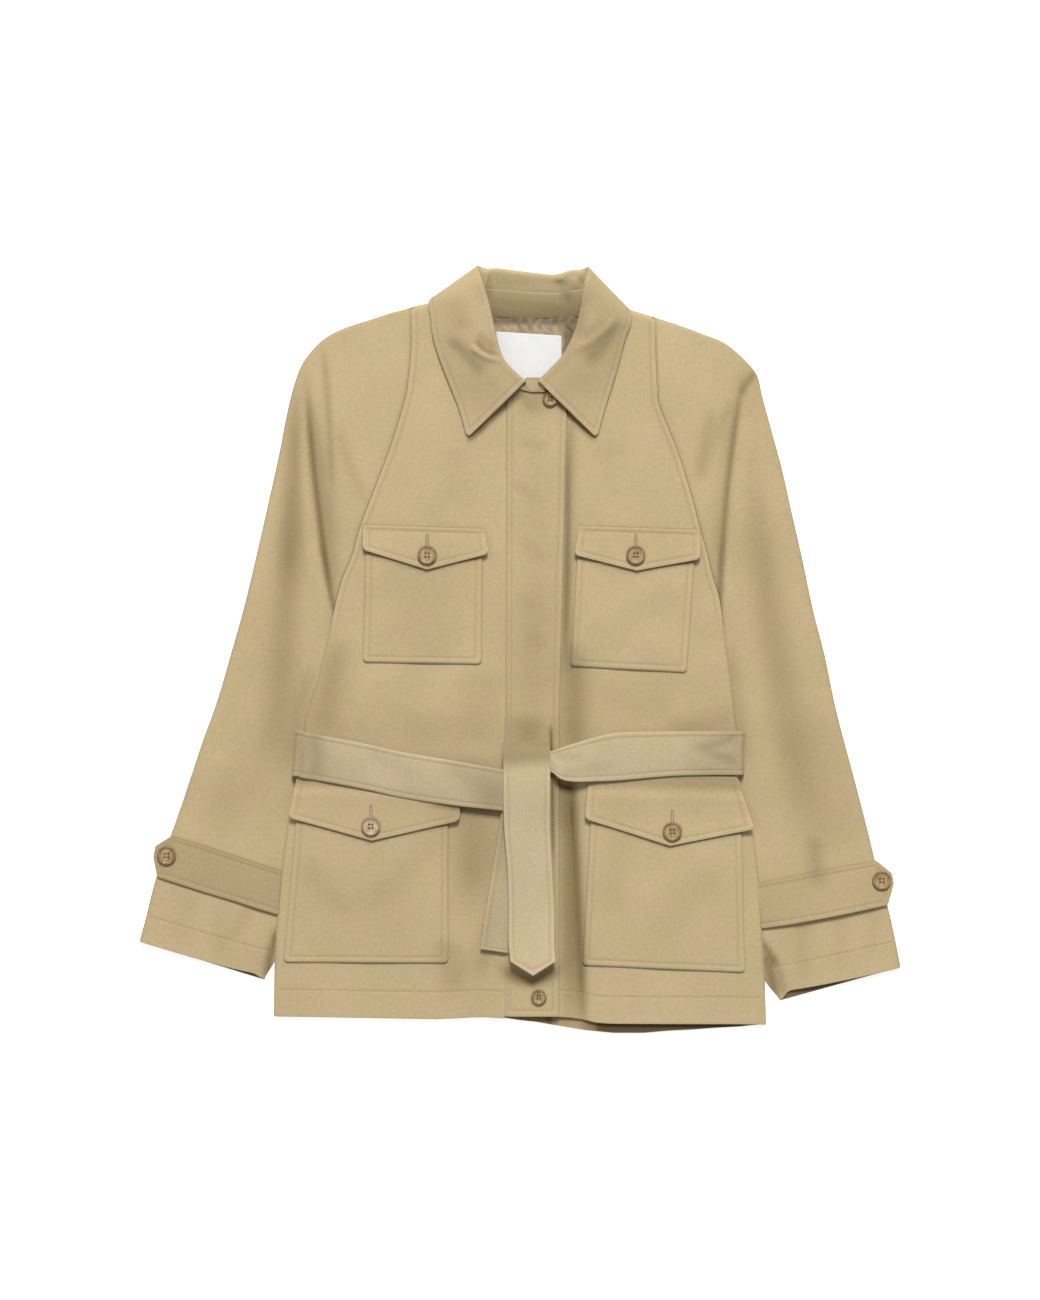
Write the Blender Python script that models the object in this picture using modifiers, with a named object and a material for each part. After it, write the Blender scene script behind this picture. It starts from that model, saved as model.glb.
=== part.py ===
"""A belted light jacket laid out flat on its back, buttoned, with its collar towards +Y.

Right and left are the wearer's, so the right side lies towards -X. Tables are in millimetres.
"""

import math

import bmesh
import bpy
import numpy as np

MM = 0.001

# Cloth walls and the spaces between layers
CLOTH = 2.0
TRIM = 1.8
BELT = 2.2
LEAF = 2.0
LABEL = 1.0
SEAM = 0.3
RAGLAN_GAP = 0.9
LAID = 0.6
AIR = 2.6
FRONT_TOP = 2 * CLOTH + AIR
RIM = CLOTH + 4 * SEAM

# How far the side edges, the sleeve's outer fold and the collar's roll reach
EDGE_ROLL = 6.0
SLEEVE_FOLD = 4.0
COLLAR_ROLL = 4.2
BELT_TURN = 6.0

# The seam under the arm closes over this stretch below the armpit
ARMPIT_Y = 44.0
ARMPIT_CLOSE = 45.0

# The belt runs across the back at this height and lifts the body over itself
BELT_BACK_Y = -99.0
BELT_BACK_HALF = 20.5
BELT_BACK_RIGHT = -201.4
BELT_BACK_LEFT = 204.4
BELT_UNDER = 3.0
BELT_LIFT = BELT + 0.4
BELT_LIFT_FLAT = 25.0
BELT_LIFT_END = 66.0

# The fronts stand a little higher round the neck, over the lining and the label
NECK_CENTRE = (12.0, 285.0)
NECK_REACH = 60.0
NECK_RAISE = 1.6

# The back's top edge is hollowed for the neck seam
BACK_NECK_X = 11.0
BACK_NECK_DIP = 8.0
BACK_NECK_HALF = 78.0
BACK_NECK_FADE = 30.0

# The back hem hangs lower than the front hem on the wearer's left
HEM_DROP = 11.2
HEM_DROP_X = 112.0
HEM_DROP_REACH = 85.0

BUTTON_RADIUS = 9.2
SMALL_BUTTON_RADIUS = 7.4
BUTTON_HEIGHT = 3.2
BUTTON_STEPS = 16

# Body sections from the shoulder to the hem: both edges, and where each front ends at its middle
# right_x, right_y, left_x, left_y, right_inner_x, left_inner_x
BODY = (
    (-105, 330, 130, 320, -65, 84),
    (-104, 302, 130, 292, -48, 63),
    (-105, 280, 131, 266, -31, 44),
    (-107, 261, 132, 250, -19, 24),
    (-110, 242, 134, 234, -14, -6),
    (-124, 196, 151, 191, -14, -6),
    (-137, 161, 164, 150, -14, -6),
    (-153, 119, 173, 116, -14, -6),
    (-161, 91, 180, 91, -15, -6),
    (-171, 67, 186, 67, -15, -7),
    (-178, 41, 192, 47, -15, -7),
    (-187, 2, 199, 0, -15, -8),
    (-198, -39, 204, -39, -15, -8),
    (-206, -66, 207, -66, -15, -9),
    (-209, -87, 209, -87, -16, -9),
    (-212, -120, 210, -120, -16, -9),
    (-222, -159, 221, -159, -16, -9),
    (-228, -200, 228, -204, -16, -9),
    (-233, -245, 232, -250, -16, -9),
    (-236, -298, 235, -305, -16, -9),
    (-237, -352, 237, -360, -16, -9),
)

# Sleeve sections from the cuff to the shoulder: outer fold, then underarm or raglan edge
# outer_x, outer_y, inner_x, inner_y
SLEEVE_RIGHT = (
    (-366, -280, -246, -317),
    (-360, -258, -239, -296),
    (-352, -226, -238, -264),
    (-341, -192, -235, -226),
    (-329, -159, -229, -181),
    (-316, -120, -224, -135),
    (-305, -87, -221, -92),
    (-291, -48, -209, -60),
    (-277, 0, -196, -21),
    (-265, 43, -185, 16),
    (-253, 93, -179, 41),
    (-242, 142, -172, 67),
    (-232, 187, -162, 91),
    (-224, 228, -154, 119),
    (-216, 259, -138, 161),
    (-207, 279, -132, 178),
    (-190, 298, -125, 196),
    (-170, 309, -116, 220),
    (-143, 318, -109, 249),
    (-125, 324, -105, 283),
    (-113, 327, -105, 307),
    (-107, 329, -105, 323),
)
SLEEVE_LEFT = (
    (366, -305, 250, -337),
    (362, -284, 240, -316),
    (355, -252, 237, -284),
    (346, -221, 234, -245),
    (335, -176, 229, -197),
    (324, -133, 222, -149),
    (313, -92, 220, -94),
    (303, -53, 212, -62),
    (293, -5, 206, -29),
    (282, 38, 200, 9),
    (271, 90, 193, 47),
    (261, 134, 187, 67),
    (252, 174, 180, 91),
    (242, 211, 173, 116),
    (233, 244, 165, 150),
    (228, 264, 158, 168),
    (216, 279, 151, 191),
    (197, 295, 142, 213),
    (173, 305, 135, 234),
    (154, 312, 132, 259),
    (139, 317, 131, 289),
    (133, 319, 131, 311),
)
SLEEVE_ARMPIT_ROW = 10

# Collar sections from the right front round the back to the left front
# seam_x, seam_y, seam_z, roll_x, roll_y, roll_z, edge_x, edge_y, edge_z, turn in degrees
COLLAR = (
    (11.4, 246, 11.0, 6, 258, 17.0, -51, 203, 9.8, 0),
    (-3, 252, 11.0, -5, 267, 18.5, -58, 229, 9.8, 0),
    (-17, 264, 10.0, -16, 280, 20.0, -67, 252, 10.0, 0),
    (-30, 280, 9.0, -23, 303, 21.0, -76, 275, 10.0, 0),
    (-41, 296, 9.0, -29, 330, 21.0, -83, 297, 10.0, 10),
    (-52, 314, 8.5, -35, 351, 19.0, -86, 318, 9.5, 35),
    (-59, 328, 7.5, -40, 367, 13.5, -87, 337, 6.0, 90),
    (-48, 323, 5.5, -33, 366, 8.0, -66, 340, 2.0, 140),
    (-36, 320, 4.4, -22, 364, 4.8, -38, 327, 0.4, 174),
    (-14, 319, 4.0, -9, 362, 4.2, -13, 325, 0.0, 180),
    (12, 318, 4.0, 12, 360, 4.2, 12, 324, 0.0, 180),
    (40, 319, 4.0, 33, 359, 4.2, 38, 325, 0.0, 180),
    (60, 320, 4.4, 48, 362, 4.8, 63, 326, 0.4, 174),
    (72, 322, 5.5, 58, 365, 8.0, 90, 338, 2.0, 140),
    (83, 326, 7.5, 65, 366, 13.5, 110, 333, 6.0, 90),
    (75, 311, 8.5, 61, 350, 19.0, 107, 314, 9.5, 35),
    (65, 294, 9.0, 57, 328, 21.0, 101, 297, 10.0, 10),
    (56, 280, 9.0, 51, 303, 21.0, 95, 274, 10.0, 0),
    (41, 264, 10.0, 41, 283, 20.0, 88, 251, 10.0, 0),
    (26, 252, 11.0, 29, 270, 18.5, 81, 229, 9.8, 0),
    (12.6, 246, 11.0, 17, 258, 17.0, 74, 203, 9.8, 0),
)
STAND_SHARE = 0.55
STAND_GAP = 0.8
STAND_TURN_GAP = 2.0
LEAF_SWELL = 2.0

# Corners of the patch pockets: top right, top left, bottom left, bottom right of the wearer
POCKETS = {
    "chest_pocket_right": ((-148, 114), (-36, 111), (-37, -14), (-151, -12)),
    "chest_pocket_left": ((56, 112), (169, 109), (160, -22), (48, -16)),
    "hip_pocket_right": ((-219, -135), (-67, -138), (-69, -301), (-227, -300)),
    "hip_pocket_left": ((64, -138), (221, -142), (216, -310), (59, -303)),
}
POCKET_PUFF = 1.0

# Corners of the flaps in the same order, then the point
FLAPS = {
    "chest_flap_right": ((-151, 121), (-34, 117), (-30, 92), (-151, 96), (-89, 77)),
    "chest_flap_left": ((57, 120), (173, 116), (173, 87), (52, 91), (112, 76)),
    "hip_flap_right": ((-220, -126), (-56, -131), (-58, -164), (-222, -161), (-142, -183)),
    "hip_flap_left": ((65, -128), (216, -132), (225, -172), (62, -162), (144, -188)),
}
FLAP_STEP = 5.0
FLAP_LIFT = 1.0

# Buttons: x, y, radius, and what each is sewn to
BUTTONS = {
    "button_neck": (29, 241, SMALL_BUTTON_RADIUS, "placket"),
    "button_hem": (18, -333, SMALL_BUTTON_RADIUS, "placket"),
    "button_chest_right": (-89, 91, BUTTON_RADIUS, "chest_flap_right"),
    "button_chest_left": (111, 91, BUTTON_RADIUS, "chest_flap_left"),
    "button_hip_right": (-143, -169, BUTTON_RADIUS, "hip_flap_right"),
    "button_hip_left": (146, -174, BUTTON_RADIUS, "hip_flap_left"),
    "button_cuff_right": (-339, -197, BUTTON_RADIUS, "cuff_tab"),
    "button_cuff_left": (347, -221, BUTTON_RADIUS, "cuff_tab"),
}

# Placket: its sewn and free edges up the front, its rise over the under-wrap, and its curved neck edge
# y, edge_x
PLACKET_SEAM = ((-352, -15.5), (-90, -15.5), (-60, -14.4), (250, -13.4))
PLACKET_FREE = ((-352, 37), (-48, 38), (211, 45), (270, 46))
PLACKET_RISE_X = -15.5
PLACKET_RISE = 6.0
PLACKET_HEM_Y = -352.0
PLACKET_NECK_X = 12.0
PLACKET_NECK_Y = 244.0
PLACKET_NECK_CURVE = 0.020

# Belt stretches across the front, from the side to the knot: x and y of the upper and lower edge, rise
# upper_x, upper_y, lower_x, lower_y, rise
BELT_RUN_RIGHT = (
    (-215, -77, -219, -121, 4.6),
    (-183, -83, -183, -127, 5.0),
    (-147, -90, -147, -134, 5.4),
    (-111, -98, -111, -142, 5.4),
    (-64, -106, -64, -149, 5.2),
    (-18, -114, -18, -154, 5.6),
    (4, -118, 4, -157, 5.6),
)
BELT_RUN_LEFT = (
    (215.5, -78, 215, -120, 2.6),
    (180, -78, 180, -120, 2.8),
    (143, -78, 143, -121, 3.0),
    (96, -79, 96, -125, 3.6),
    (48, -85, 48, -126, 5.0),
    (29, -93, 29, -121, 5.6),
    (8, -98, 8, -121, 5.6),
)

# Hanging end of the belt, down its front: y, right_x, left_x, rise over the placket
BELT_END = (
    (-93, -17, 29, 7.9),
    (-116, -16, 29, 8.2),
    (-150, -16, 29, 7.9),
    (-175, -15, 29, 6.4),
    (-212, -12, 31, 5.4),
    (-250, -11, 33, 5.2),
    (-279, -11, 33, 5.4),
    (-298, -9, 34, 5.8),
)
BELT_END_POINT = 13.5
BELT_END_BEHIND_Y = -134.0

# Square end of the belt behind it: y, right_x, left_x
BELT_TAIL = ((-140, -16, 26), (-190, -23, 19), (-240, -31, 11), (-287, -38, 4))

# Cuff straps from the underarm to the point: upper_x, upper_y, lower_x, lower_y
CUFF_TAB_RIGHT = (
    (-237, -209, -240, -252),
    (-262, -201, -268, -243),
    (-298, -189, -308, -231),
    (-334, -178, -348, -218),
    (-350, -188, -352, -199),
)
CUFF_TAB_LEFT = (
    (233, -223, 238, -267),
    (262, -217, 268, -262),
    (302, -209, 310, -254),
    (342, -202, 353, -245),
    (357, -214, 359, -224),
)

# Corners of the pieces inside the neck
NECK_LINING = ((-40, 315), (65, 314), (61, 238), (-33, 238))
NECK_LABEL = ((-23, 306), (40, 302), (40, 254), (-23, 257))

# The largest folds of the cloth: start, end, half width, height
# start_x, start_y, end_x, end_y, half_width, height
FOLDS = (
    (-208, 252, -196, 160, 9, -1.5),
    (-196, 160, -180, 52, 9, -1.7),
    (-186, 250, -176, 130, 13, 0.9),
    (215, 262, 204, 180, 9, -1.5),
    (204, 180, 194, 58, 9, -1.7),
    (196, 240, 188, 130, 13, 0.9),
    (-262, 20, -300, -110, 16, 0.9),
    (-232, 10, -262, -120, 14, -0.9),
    (-280, -60, -322, -170, 14, -0.8),
    (262, 40, 290, -80, 16, 0.9),
    (232, 20, 252, -110, 14, -0.9),
    (286, -60, 320, -180, 14, -0.8),
    (54, -132, 55, -300, 8, -1.3),
    (-40, -160, -44, -300, 12, 0.7),
    (-120, 60, -175, 10, 16, -0.8),
    (120, 40, 190, 0, 16, -0.8),
    (-60, 20, -120, -60, 18, -0.8),
    (80, 10, 150, -60, 18, -0.8),
)
FOLD_TAPER = 0.25

CLOTH_COLOUR = (0.53, 0.41, 0.24, 1.0)
LINING_COLOUR = (0.34, 0.27, 0.17, 1.0)
LABEL_COLOUR = (0.86, 0.86, 0.84, 1.0)
BUTTON_COLOUR = (0.36, 0.23, 0.10, 1.0)


def smooth(share):
    share = min(max(share, 0.0), 1.0)
    return share * share * (3.0 - 2.0 * share)


def quarter_round(share):
    """Height of a quarter round: 0 at its foot, 1 where it has levelled out."""
    share = min(max(share, 0.0), 1.0)
    return math.sqrt(1.0 - (1.0 - share) ** 2)


def between(table, place):
    """A row of a table at a place between its rows, on a smooth line through them."""
    rows = np.asarray(table, float)
    last = len(rows) - 1
    first = min(int(place), last - 1)
    share = place - first
    before = rows[max(first - 1, 0)]
    start = rows[first]
    end = rows[first + 1]
    after = rows[min(first + 2, last)]
    return start + 0.5 * share * (
        end - before
        + share * (2 * before - 5 * start + 4 * end - after + share * (3 * (start - end) + after - before))
    )


def at_height(table, y):
    """The second column of a table read at a height in its first column."""
    rows = np.asarray(table, float)
    return float(np.interp(y, rows[:, 0], rows[:, 1]))


def fold_height(x, y):
    total = 0.0
    for start_x, start_y, end_x, end_y, half_width, height in FOLDS:
        run_x = end_x - start_x
        run_y = end_y - start_y
        length = math.hypot(run_x, run_y)
        along = ((x - start_x) * run_x + (y - start_y) * run_y) / length**2
        across = abs((x - start_x) * run_y - (y - start_y) * run_x) / length
        fade_in = smooth((along + FOLD_TAPER) / (2 * FOLD_TAPER))
        fade_out = smooth((1.0 - along + FOLD_TAPER) / (2 * FOLD_TAPER))
        total += height * fade_in * fade_out * math.exp(-((across / half_width) ** 2))
    return total


def belt_lift(y):
    return BELT_LIFT * smooth((BELT_LIFT_END - abs(y - BELT_BACK_Y)) / (BELT_LIFT_END - BELT_LIFT_FLAT))


def neck_raise(x, y):
    distance = math.hypot(x - NECK_CENTRE[0], y - NECK_CENTRE[1])
    return NECK_RAISE * math.exp(-((distance / NECK_REACH) ** 2))


def sleeve_level(x, y):
    return FRONT_TOP + neck_raise(x, y) + fold_height(x, y)


def body_level(x, y):
    return sleeve_level(x, y) + belt_lift(y)


def underarm_share(y):
    """How far the side is rolled down to the seam under the arm: 0 on the raglan seam, 1 below."""
    return smooth((ARMPIT_Y + 5.0 - y) / ARMPIT_CLOSE)


def roll_down(y, from_edge):
    return 1.0 - underarm_share(y) * (1.0 - quarter_round(from_edge / EDGE_ROLL))


def placket_level(x, y):
    return body_level(x, y) + (TRIM + LAID) * smooth((x - PLACKET_RISE_X) / PLACKET_RISE)


def flap_level(name, x, y):
    top_right, top_left, low_left, low_right, point = FLAPS[name]
    run_x = top_left[0] - top_right[0]
    run_y = top_left[1] - top_right[1]
    drop = ((x - top_right[0]) * run_y - (y - top_right[1]) * run_x) / math.hypot(run_x, run_y)
    depth = top_right[1] - point[1]
    over_pocket = (TRIM + LAID) * smooth(drop / FLAP_STEP)
    return body_level(x, y) + LAID + TRIM + over_pocket + FLAP_LIFT * max(drop / depth, 0.0) ** 2


def tab_level(x, y):
    return sleeve_level(x, y) + LAID + TRIM


def matte(name, colour, roughness):
    material = bpy.data.materials.new(name)
    material.use_nodes = True
    shader = material.node_tree.nodes["Principled BSDF"]
    shader.inputs["Base Color"].default_value = colour
    shader.inputs["Roughness"].default_value = roughness
    shader.inputs["Metallic"].default_value = 0.0
    return material


def place(name, mesh, collection, material):
    mesh.materials.append(material)
    mesh.shade_smooth()
    piece = bpy.data.objects.new(name, mesh)
    collection.objects.link(piece)
    return piece


def cloth(name, rows, wall, collection, material):
    """A sheet of cloth through rows of points on its outer face, given its wall inwards.

    Points run to +X along a row and rows run to +Y where the outer face looks up.
    """
    shape = bmesh.new()
    across = len(rows[0])
    bmesh.ops.create_grid(shape, x_segments=across - 1, y_segments=len(rows) - 1, size=0.5)
    points = [point for row in rows for point in row]
    shape.verts.ensure_lookup_table()
    order = sorted(shape.verts, key=lambda vertex: (round(vertex.co.y, 5), round(vertex.co.x, 5)))
    for vertex, point in zip(order, points):
        vertex.co = [value * MM for value in point]
    mesh = bpy.data.meshes.new(name)
    shape.to_mesh(mesh)
    shape.free()
    piece = place(name, mesh, collection, material)
    shell = piece.modifiers.new("Wall", "SOLIDIFY")
    shell.thickness = wall * MM
    shell.offset = -1.0
    shell.use_even_offset = True
    shell.use_quality_normals = True
    return piece


def body_rows():
    """Places down the body's table, close together at the shoulder's roll and at the belt."""
    shoulder = [0.0, 0.022, 0.086, 0.215, 0.6]
    chest = list(np.arange(1.0, 12.0, 1.0))
    waist = list(np.arange(12.0, 17.0, 0.5))
    hips = list(np.arange(17.0, 20.01, 1.0))
    return shoulder + chest + waist + hips


def from_edge_shares(width, count):
    """Shares across a front from its side edge, close together where it rolls down."""
    rolled = [0.0, 0.6 / width, 2.4 / width, EDGE_ROLL / width]
    return rolled + list(np.linspace(EDGE_ROLL / width, 1.0, count + 1)[1:])


def front(name, right_side, collection, material):
    rows = []
    for place_down in body_rows():
        right_x, right_y, left_x, left_y, right_inner, left_inner = between(BODY, place_down)
        slope = (left_y - right_y) / (left_x - right_x)
        edge_x, inner_x = (right_x, right_inner) if right_side else (left_x, left_inner)
        from_top = right_y - between(BODY, 0)[1]
        row = []
        for share in from_edge_shares(abs(inner_x - edge_x), 10):
            x = edge_x + (inner_x - edge_x) * share
            y = right_y + slope * (x - right_x)
            rim = RIM + belt_lift(y)
            shoulder = quarter_round(-from_top / EDGE_ROLL)
            rise = roll_down(y, abs(x - edge_x)) * shoulder
            row.append((x, y, rim + (body_level(x, y) - rim) * rise))
        rows.append(row if right_side else row[::-1])
    return cloth(name, rows[::-1], CLOTH, collection, material)


def back(collection, material):
    rows = []
    for place_down in [0.0] + body_rows()[4:]:
        right_x, right_y, left_x, left_y, _, _ = between(BODY, place_down)
        neck_fade = smooth(1.0 - place_down / 1.5)
        hem_fade = smooth((place_down - 15.0) / 5.0)
        row = []
        for share in np.linspace(0.0, 1.0, 17):
            x = right_x + (left_x - right_x) * share
            y = right_y + (left_y - right_y) * share
            in_neck = smooth((BACK_NECK_HALF - abs(x - BACK_NECK_X)) / BACK_NECK_FADE)
            y -= BACK_NECK_DIP * neck_fade * in_neck
            y -= HEM_DROP * hem_fade * smooth(1.0 - abs(x - HEM_DROP_X) / HEM_DROP_REACH)
            row.append((x, y, CLOTH + belt_lift(y)))
        rows.append(row)
    return cloth("back", rows[::-1], CLOTH, collection, material)


def sleeve(name, table, right_side, collection, material):
    """One sheet folded round: up from the seam under the arm, round the outer fold and over the top."""
    last = len(table) - 1
    body_side = np.array([between(BODY, row) for row in np.linspace(0.0, 12.0, 61)])
    edges = body_side[:, 0:2] if right_side else body_side[:, 2:4]
    outward = -1.0 if right_side else 1.0
    rows = []
    for place_up in [0.0, 0.5] + list(np.arange(1.0, last + 0.01, 0.75)) + [float(last)]:
        outer_x, outer_y, inner_x, inner_y = between(table, place_up)
        if place_up >= SLEEVE_ARMPIT_ROW:
            seam_x = float(np.interp(-inner_y, -edges[:, 1], edges[:, 0]))
            inner_x = seam_x + outward * RAGLAN_GAP
        width = math.hypot(inner_x - outer_x, inner_y - outer_y)
        over = [EDGE_ROLL, 2.4, 0.6, 0.0]
        fold = [SLEEVE_FOLD * (1.0 - math.cos(math.radians(angle))) for angle in (-90, -45, 0, 45, 90)]
        lifted = [0.5 + 0.5 * math.sin(math.radians(angle)) for angle in (-90, -45, 0, 45, 90)]
        run = np.linspace(width, SLEEVE_FOLD, 4)[:-1]
        top = np.linspace(SLEEVE_FOLD, max(width - EDGE_ROLL, SLEEVE_FOLD + 0.2), 8)[1:]
        end = [max(width - reach, SLEEVE_FOLD + 0.4 + 0.2 * step) for step, reach in enumerate(over[1:])]
        row = []
        for distance, height in (
            [(value, 0.0) for value in run]
            + list(zip(fold, lifted))
            + [(value, 1.0) for value in list(top) + end]
        ):
            x = outer_x + (inner_x - outer_x) * distance / width
            y = outer_y + (inner_y - outer_y) * distance / width
            level = sleeve_level(x, y)
            if height == 1.0:
                rise = roll_down(inner_y, width - distance)
                row.append((x, y, RIM + (level - RIM) * rise))
            else:
                row.append((x, y, level * height))
        rows.append(row if right_side else row[::-1])
    return cloth(name, rows, CLOTH, collection, material)


def collar_section(station, columns):
    """Points of a collar section: the leaf's edge, over the roll, and down to the stand and neck seam."""
    seam_x, seam_y, seam_z, roll_x, roll_y, roll_z, edge_x, edge_y, edge_z, turn = station
    seam = np.array((seam_x, seam_y, seam_z))
    tip = np.array((roll_x, roll_y, roll_z))
    edge = np.array((edge_x, edge_y, edge_z))
    outward = np.array((edge_x - roll_x, edge_y - roll_y, 0.0))
    outward /= np.linalg.norm(outward)
    side = np.array((outward[1], -outward[0], 0.0))
    if side[1] < 0:
        side = -side
    upright = math.cos(math.radians(turn))
    sideways = math.sin(math.radians(turn))
    leafward = upright * np.array((0.0, 0.0, 1.0)) + sideways * side
    centre = tip + COLLAR_ROLL * outward
    roll = [
        centre + COLLAR_ROLL * (math.sin(angle) * leafward - math.cos(angle) * outward)
        for angle in np.radians((-90, -45, 0, 45, 90))
    ]
    stand_run = roll[0] - seam
    stand_top = seam + STAND_SHARE * stand_run
    if columns == "stand":
        gap = STAND_GAP + STAND_TURN_GAP * sideways
        return [stand_top - gap * stand_run / np.linalg.norm(stand_run), 0.5 * (seam + stand_top), seam]
    swell = LEAF_SWELL * max(upright, 0.0) * leafward
    leaf = [
        roll[-1] + (edge - roll[-1]) * share + swell * math.sin(math.pi * share)
        for share in np.linspace(0.0, 1.0, 6)
    ]
    return leaf[::-1] + roll[-2:0:-1] + [roll[0], 0.5 * (roll[0] + stand_top), stand_top]


def collar(name, columns, collection, material):
    rows = [collar_section(between(COLLAR, station), columns) for station in np.arange(0, 20.01, 1.0)]
    return cloth(name, rows, LEAF, collection, material)


def placket(collection, material):
    """The strip over the buttons, with rows at the same heights as the fronts below its neck edge."""
    length = PLACKET_NECK_Y - PLACKET_HEM_Y
    rows = []
    for place_down in [3.4] + body_rows()[9:]:
        share_down = max((PLACKET_NECK_Y - between(BODY, place_down)[1]) / length, 0.0)
        level_y = PLACKET_NECK_Y - length * share_down
        seam_x = at_height(PLACKET_SEAM, level_y)
        free_x = at_height(PLACKET_FREE, level_y)
        row = []
        for share in (0.0, 0.06, 0.12, 0.34, 0.56, 0.78, 1.0):
            x = seam_x + (free_x - seam_x) * share
            y = level_y + PLACKET_NECK_CURVE * (x - PLACKET_NECK_X) ** 2 * (1.0 - share_down) ** 6
            row.append((x, y, placket_level(x, y)))
        rows.append(row)
    return cloth("placket", rows[::-1], TRIM, collection, material)


def pocket(name, collection, material):
    corners = [np.array(corner, float) for corner in POCKETS[name]]
    rows = []
    for down in (0.0, 0.08, 0.16, 0.32, 0.54, 0.77, 1.0):
        right = corners[0] + (corners[3] - corners[0]) * down
        left = corners[1] + (corners[2] - corners[1]) * down
        row = []
        for share in np.linspace(0.0, 1.0, 7):
            x, y = right + (left - right) * share
            puff = POCKET_PUFF * math.sin(math.pi * share) * math.sin(math.pi * max((down - 0.3) / 0.7, 0.0))
            row.append((x, y, body_level(x, y) + LAID + TRIM + puff))
        rows.append(row)
    return cloth(name, rows[::-1], TRIM, collection, material)


def flap(name, collection, material):
    """A pointed flap, with a row where it steps up on to the pocket."""
    top_right, top_left, low_left, low_right, point = [np.array(corner, float) for corner in FLAPS[name]]
    columns = []
    for share in np.linspace(0.0, 1.0, 9):
        top = top_right + (top_left - top_right) * share
        if share <= 0.5:
            low = low_right + (point - low_right) * 2 * share
        else:
            low = point + (low_left - point) * (2 * share - 1)
        step = FLAP_STEP / np.linalg.norm(low - top)
        column = []
        for down in [0.0] + list(np.linspace(step, 1.0, 4)):
            x, y = top + (low - top) * down
            column.append((x, y, flap_level(name, x, y)))
        columns.append(column)
    rows = list(zip(*columns))
    return cloth(name, rows[::-1], TRIM, collection, material)


def belt_run(name, table, right_side, collection, material):
    """A stretch of the belt: from the knot over the front, round the side edge and under to the floor."""
    outward = -1.0 if right_side else 1.0
    end_upper_x, end_upper_y, end_lower_x, end_lower_y, end_rise = table[0]
    rows = []
    for across in np.linspace(0.0, 1.0, 4):
        end_x = end_lower_x + (end_upper_x - end_lower_x) * across
        end_y = end_lower_y + (end_upper_y - end_lower_y) * across
        turn_x = end_x - outward * BELT_TURN
        top = body_level(turn_x, end_y) + end_rise + BELT
        row = [(turn_x - outward * BELT_UNDER, end_y, 0.0)]
        for angle in np.radians((-90, -60, -30, 0, 30, 60, 90)):
            turn = outward * BELT_TURN * math.cos(angle)
            row.append((turn_x + turn, end_y, top * (0.5 + 0.5 * math.sin(angle))))
        for place_in in np.arange(0.5, len(table) - 0.99, 0.5):
            upper_x, upper_y, lower_x, lower_y, rise = between(table, place_in)
            x = lower_x + (upper_x - lower_x) * across
            y = lower_y + (upper_y - lower_y) * across
            row.append((x, y, body_level(x, y) + rise + BELT))
        rows.append(row if right_side else row[::-1])
    return cloth(name, rows, BELT, collection, material)


def belt_back(collection, material):
    along = np.linspace(BELT_BACK_RIGHT, BELT_BACK_LEFT, 5)
    rows = [[(x, BELT_BACK_Y + side * BELT_BACK_HALF, BELT) for x in along] for side in (-1.0, 1.0)]
    return cloth("belt_back", rows, BELT, collection, material)


def belt_end(collection, material):
    """The pointed end: up behind the knot, over its top and down in front."""
    rows = []
    top_y, right_x, left_x, top_rise = BELT_END[0]
    for row_index in range(3):
        y = BELT_END_BEHIND_Y + (top_y - BELT_END_BEHIND_Y) * row_index / 2
        rows.append([(x, y, body_level(x, y) + TRIM + 2 * LAID) for x in np.linspace(right_x, left_x, 5)])
    for angle in np.radians((-45, 0, 45)):
        row = []
        for x in np.linspace(right_x, left_x, 5):
            low = body_level(x, top_y) + TRIM + 2 * LAID
            high = body_level(x, top_y) + TRIM + top_rise + BELT
            half = 0.5 * (high - low)
            row.append((x, top_y + 1.1 * half * math.cos(angle), low + half + half * math.sin(angle)))
        rows.append(row)
    last = len(BELT_END) - 1
    for place_down in np.arange(0.0, last + 0.01, 0.5):
        y, right_x, left_x, rise = between(BELT_END, place_down)
        row = []
        for share in np.linspace(0.0, 1.0, 5):
            x = right_x + (left_x - right_x) * share
            point = BELT_END_POINT * (1.0 - abs(2 * share - 1)) * smooth((place_down - last + 1.0) / 1.0)
            row.append((x, y - point, body_level(x, y) + TRIM + rise + BELT))
        rows.append(row)
    return cloth("belt_end", rows[::-1], BELT, collection, material)


def belt_tail(collection, material):
    rows = []
    for place_down in np.arange(0.0, len(BELT_TAIL) - 0.99, 0.5):
        y, right_x, left_x = between(BELT_TAIL, place_down)
        row = []
        for share in np.linspace(0.0, 1.0, 4):
            x = right_x + (left_x - right_x) * share
            row.append((x, y - 6.0 * share, body_level(x, y) + TRIM + 2 * LAID + BELT))
        rows.append(row)
    return cloth("belt_tail", rows[::-1], BELT, collection, material)


def cuff_tab(name, table, right_side, collection, material):
    rows = []
    for across in np.linspace(0.0, 1.0, 4):
        row = []
        for place_out in (0.0, 0.5, 1.0, 1.5, 2.0, 2.5, 3.0, 4.0):
            first = min(int(place_out), 3)
            start, end = np.array(table[first], float), np.array(table[first + 1], float)
            upper_x, upper_y, lower_x, lower_y = start + (end - start) * (place_out - first)
            x = lower_x + (upper_x - lower_x) * across
            y = lower_y + (upper_y - lower_y) * across
            row.append((x, y, tab_level(x, y)))
        rows.append(row[::-1] if right_side else row)
    return cloth(name, rows, TRIM, collection, material)


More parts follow.
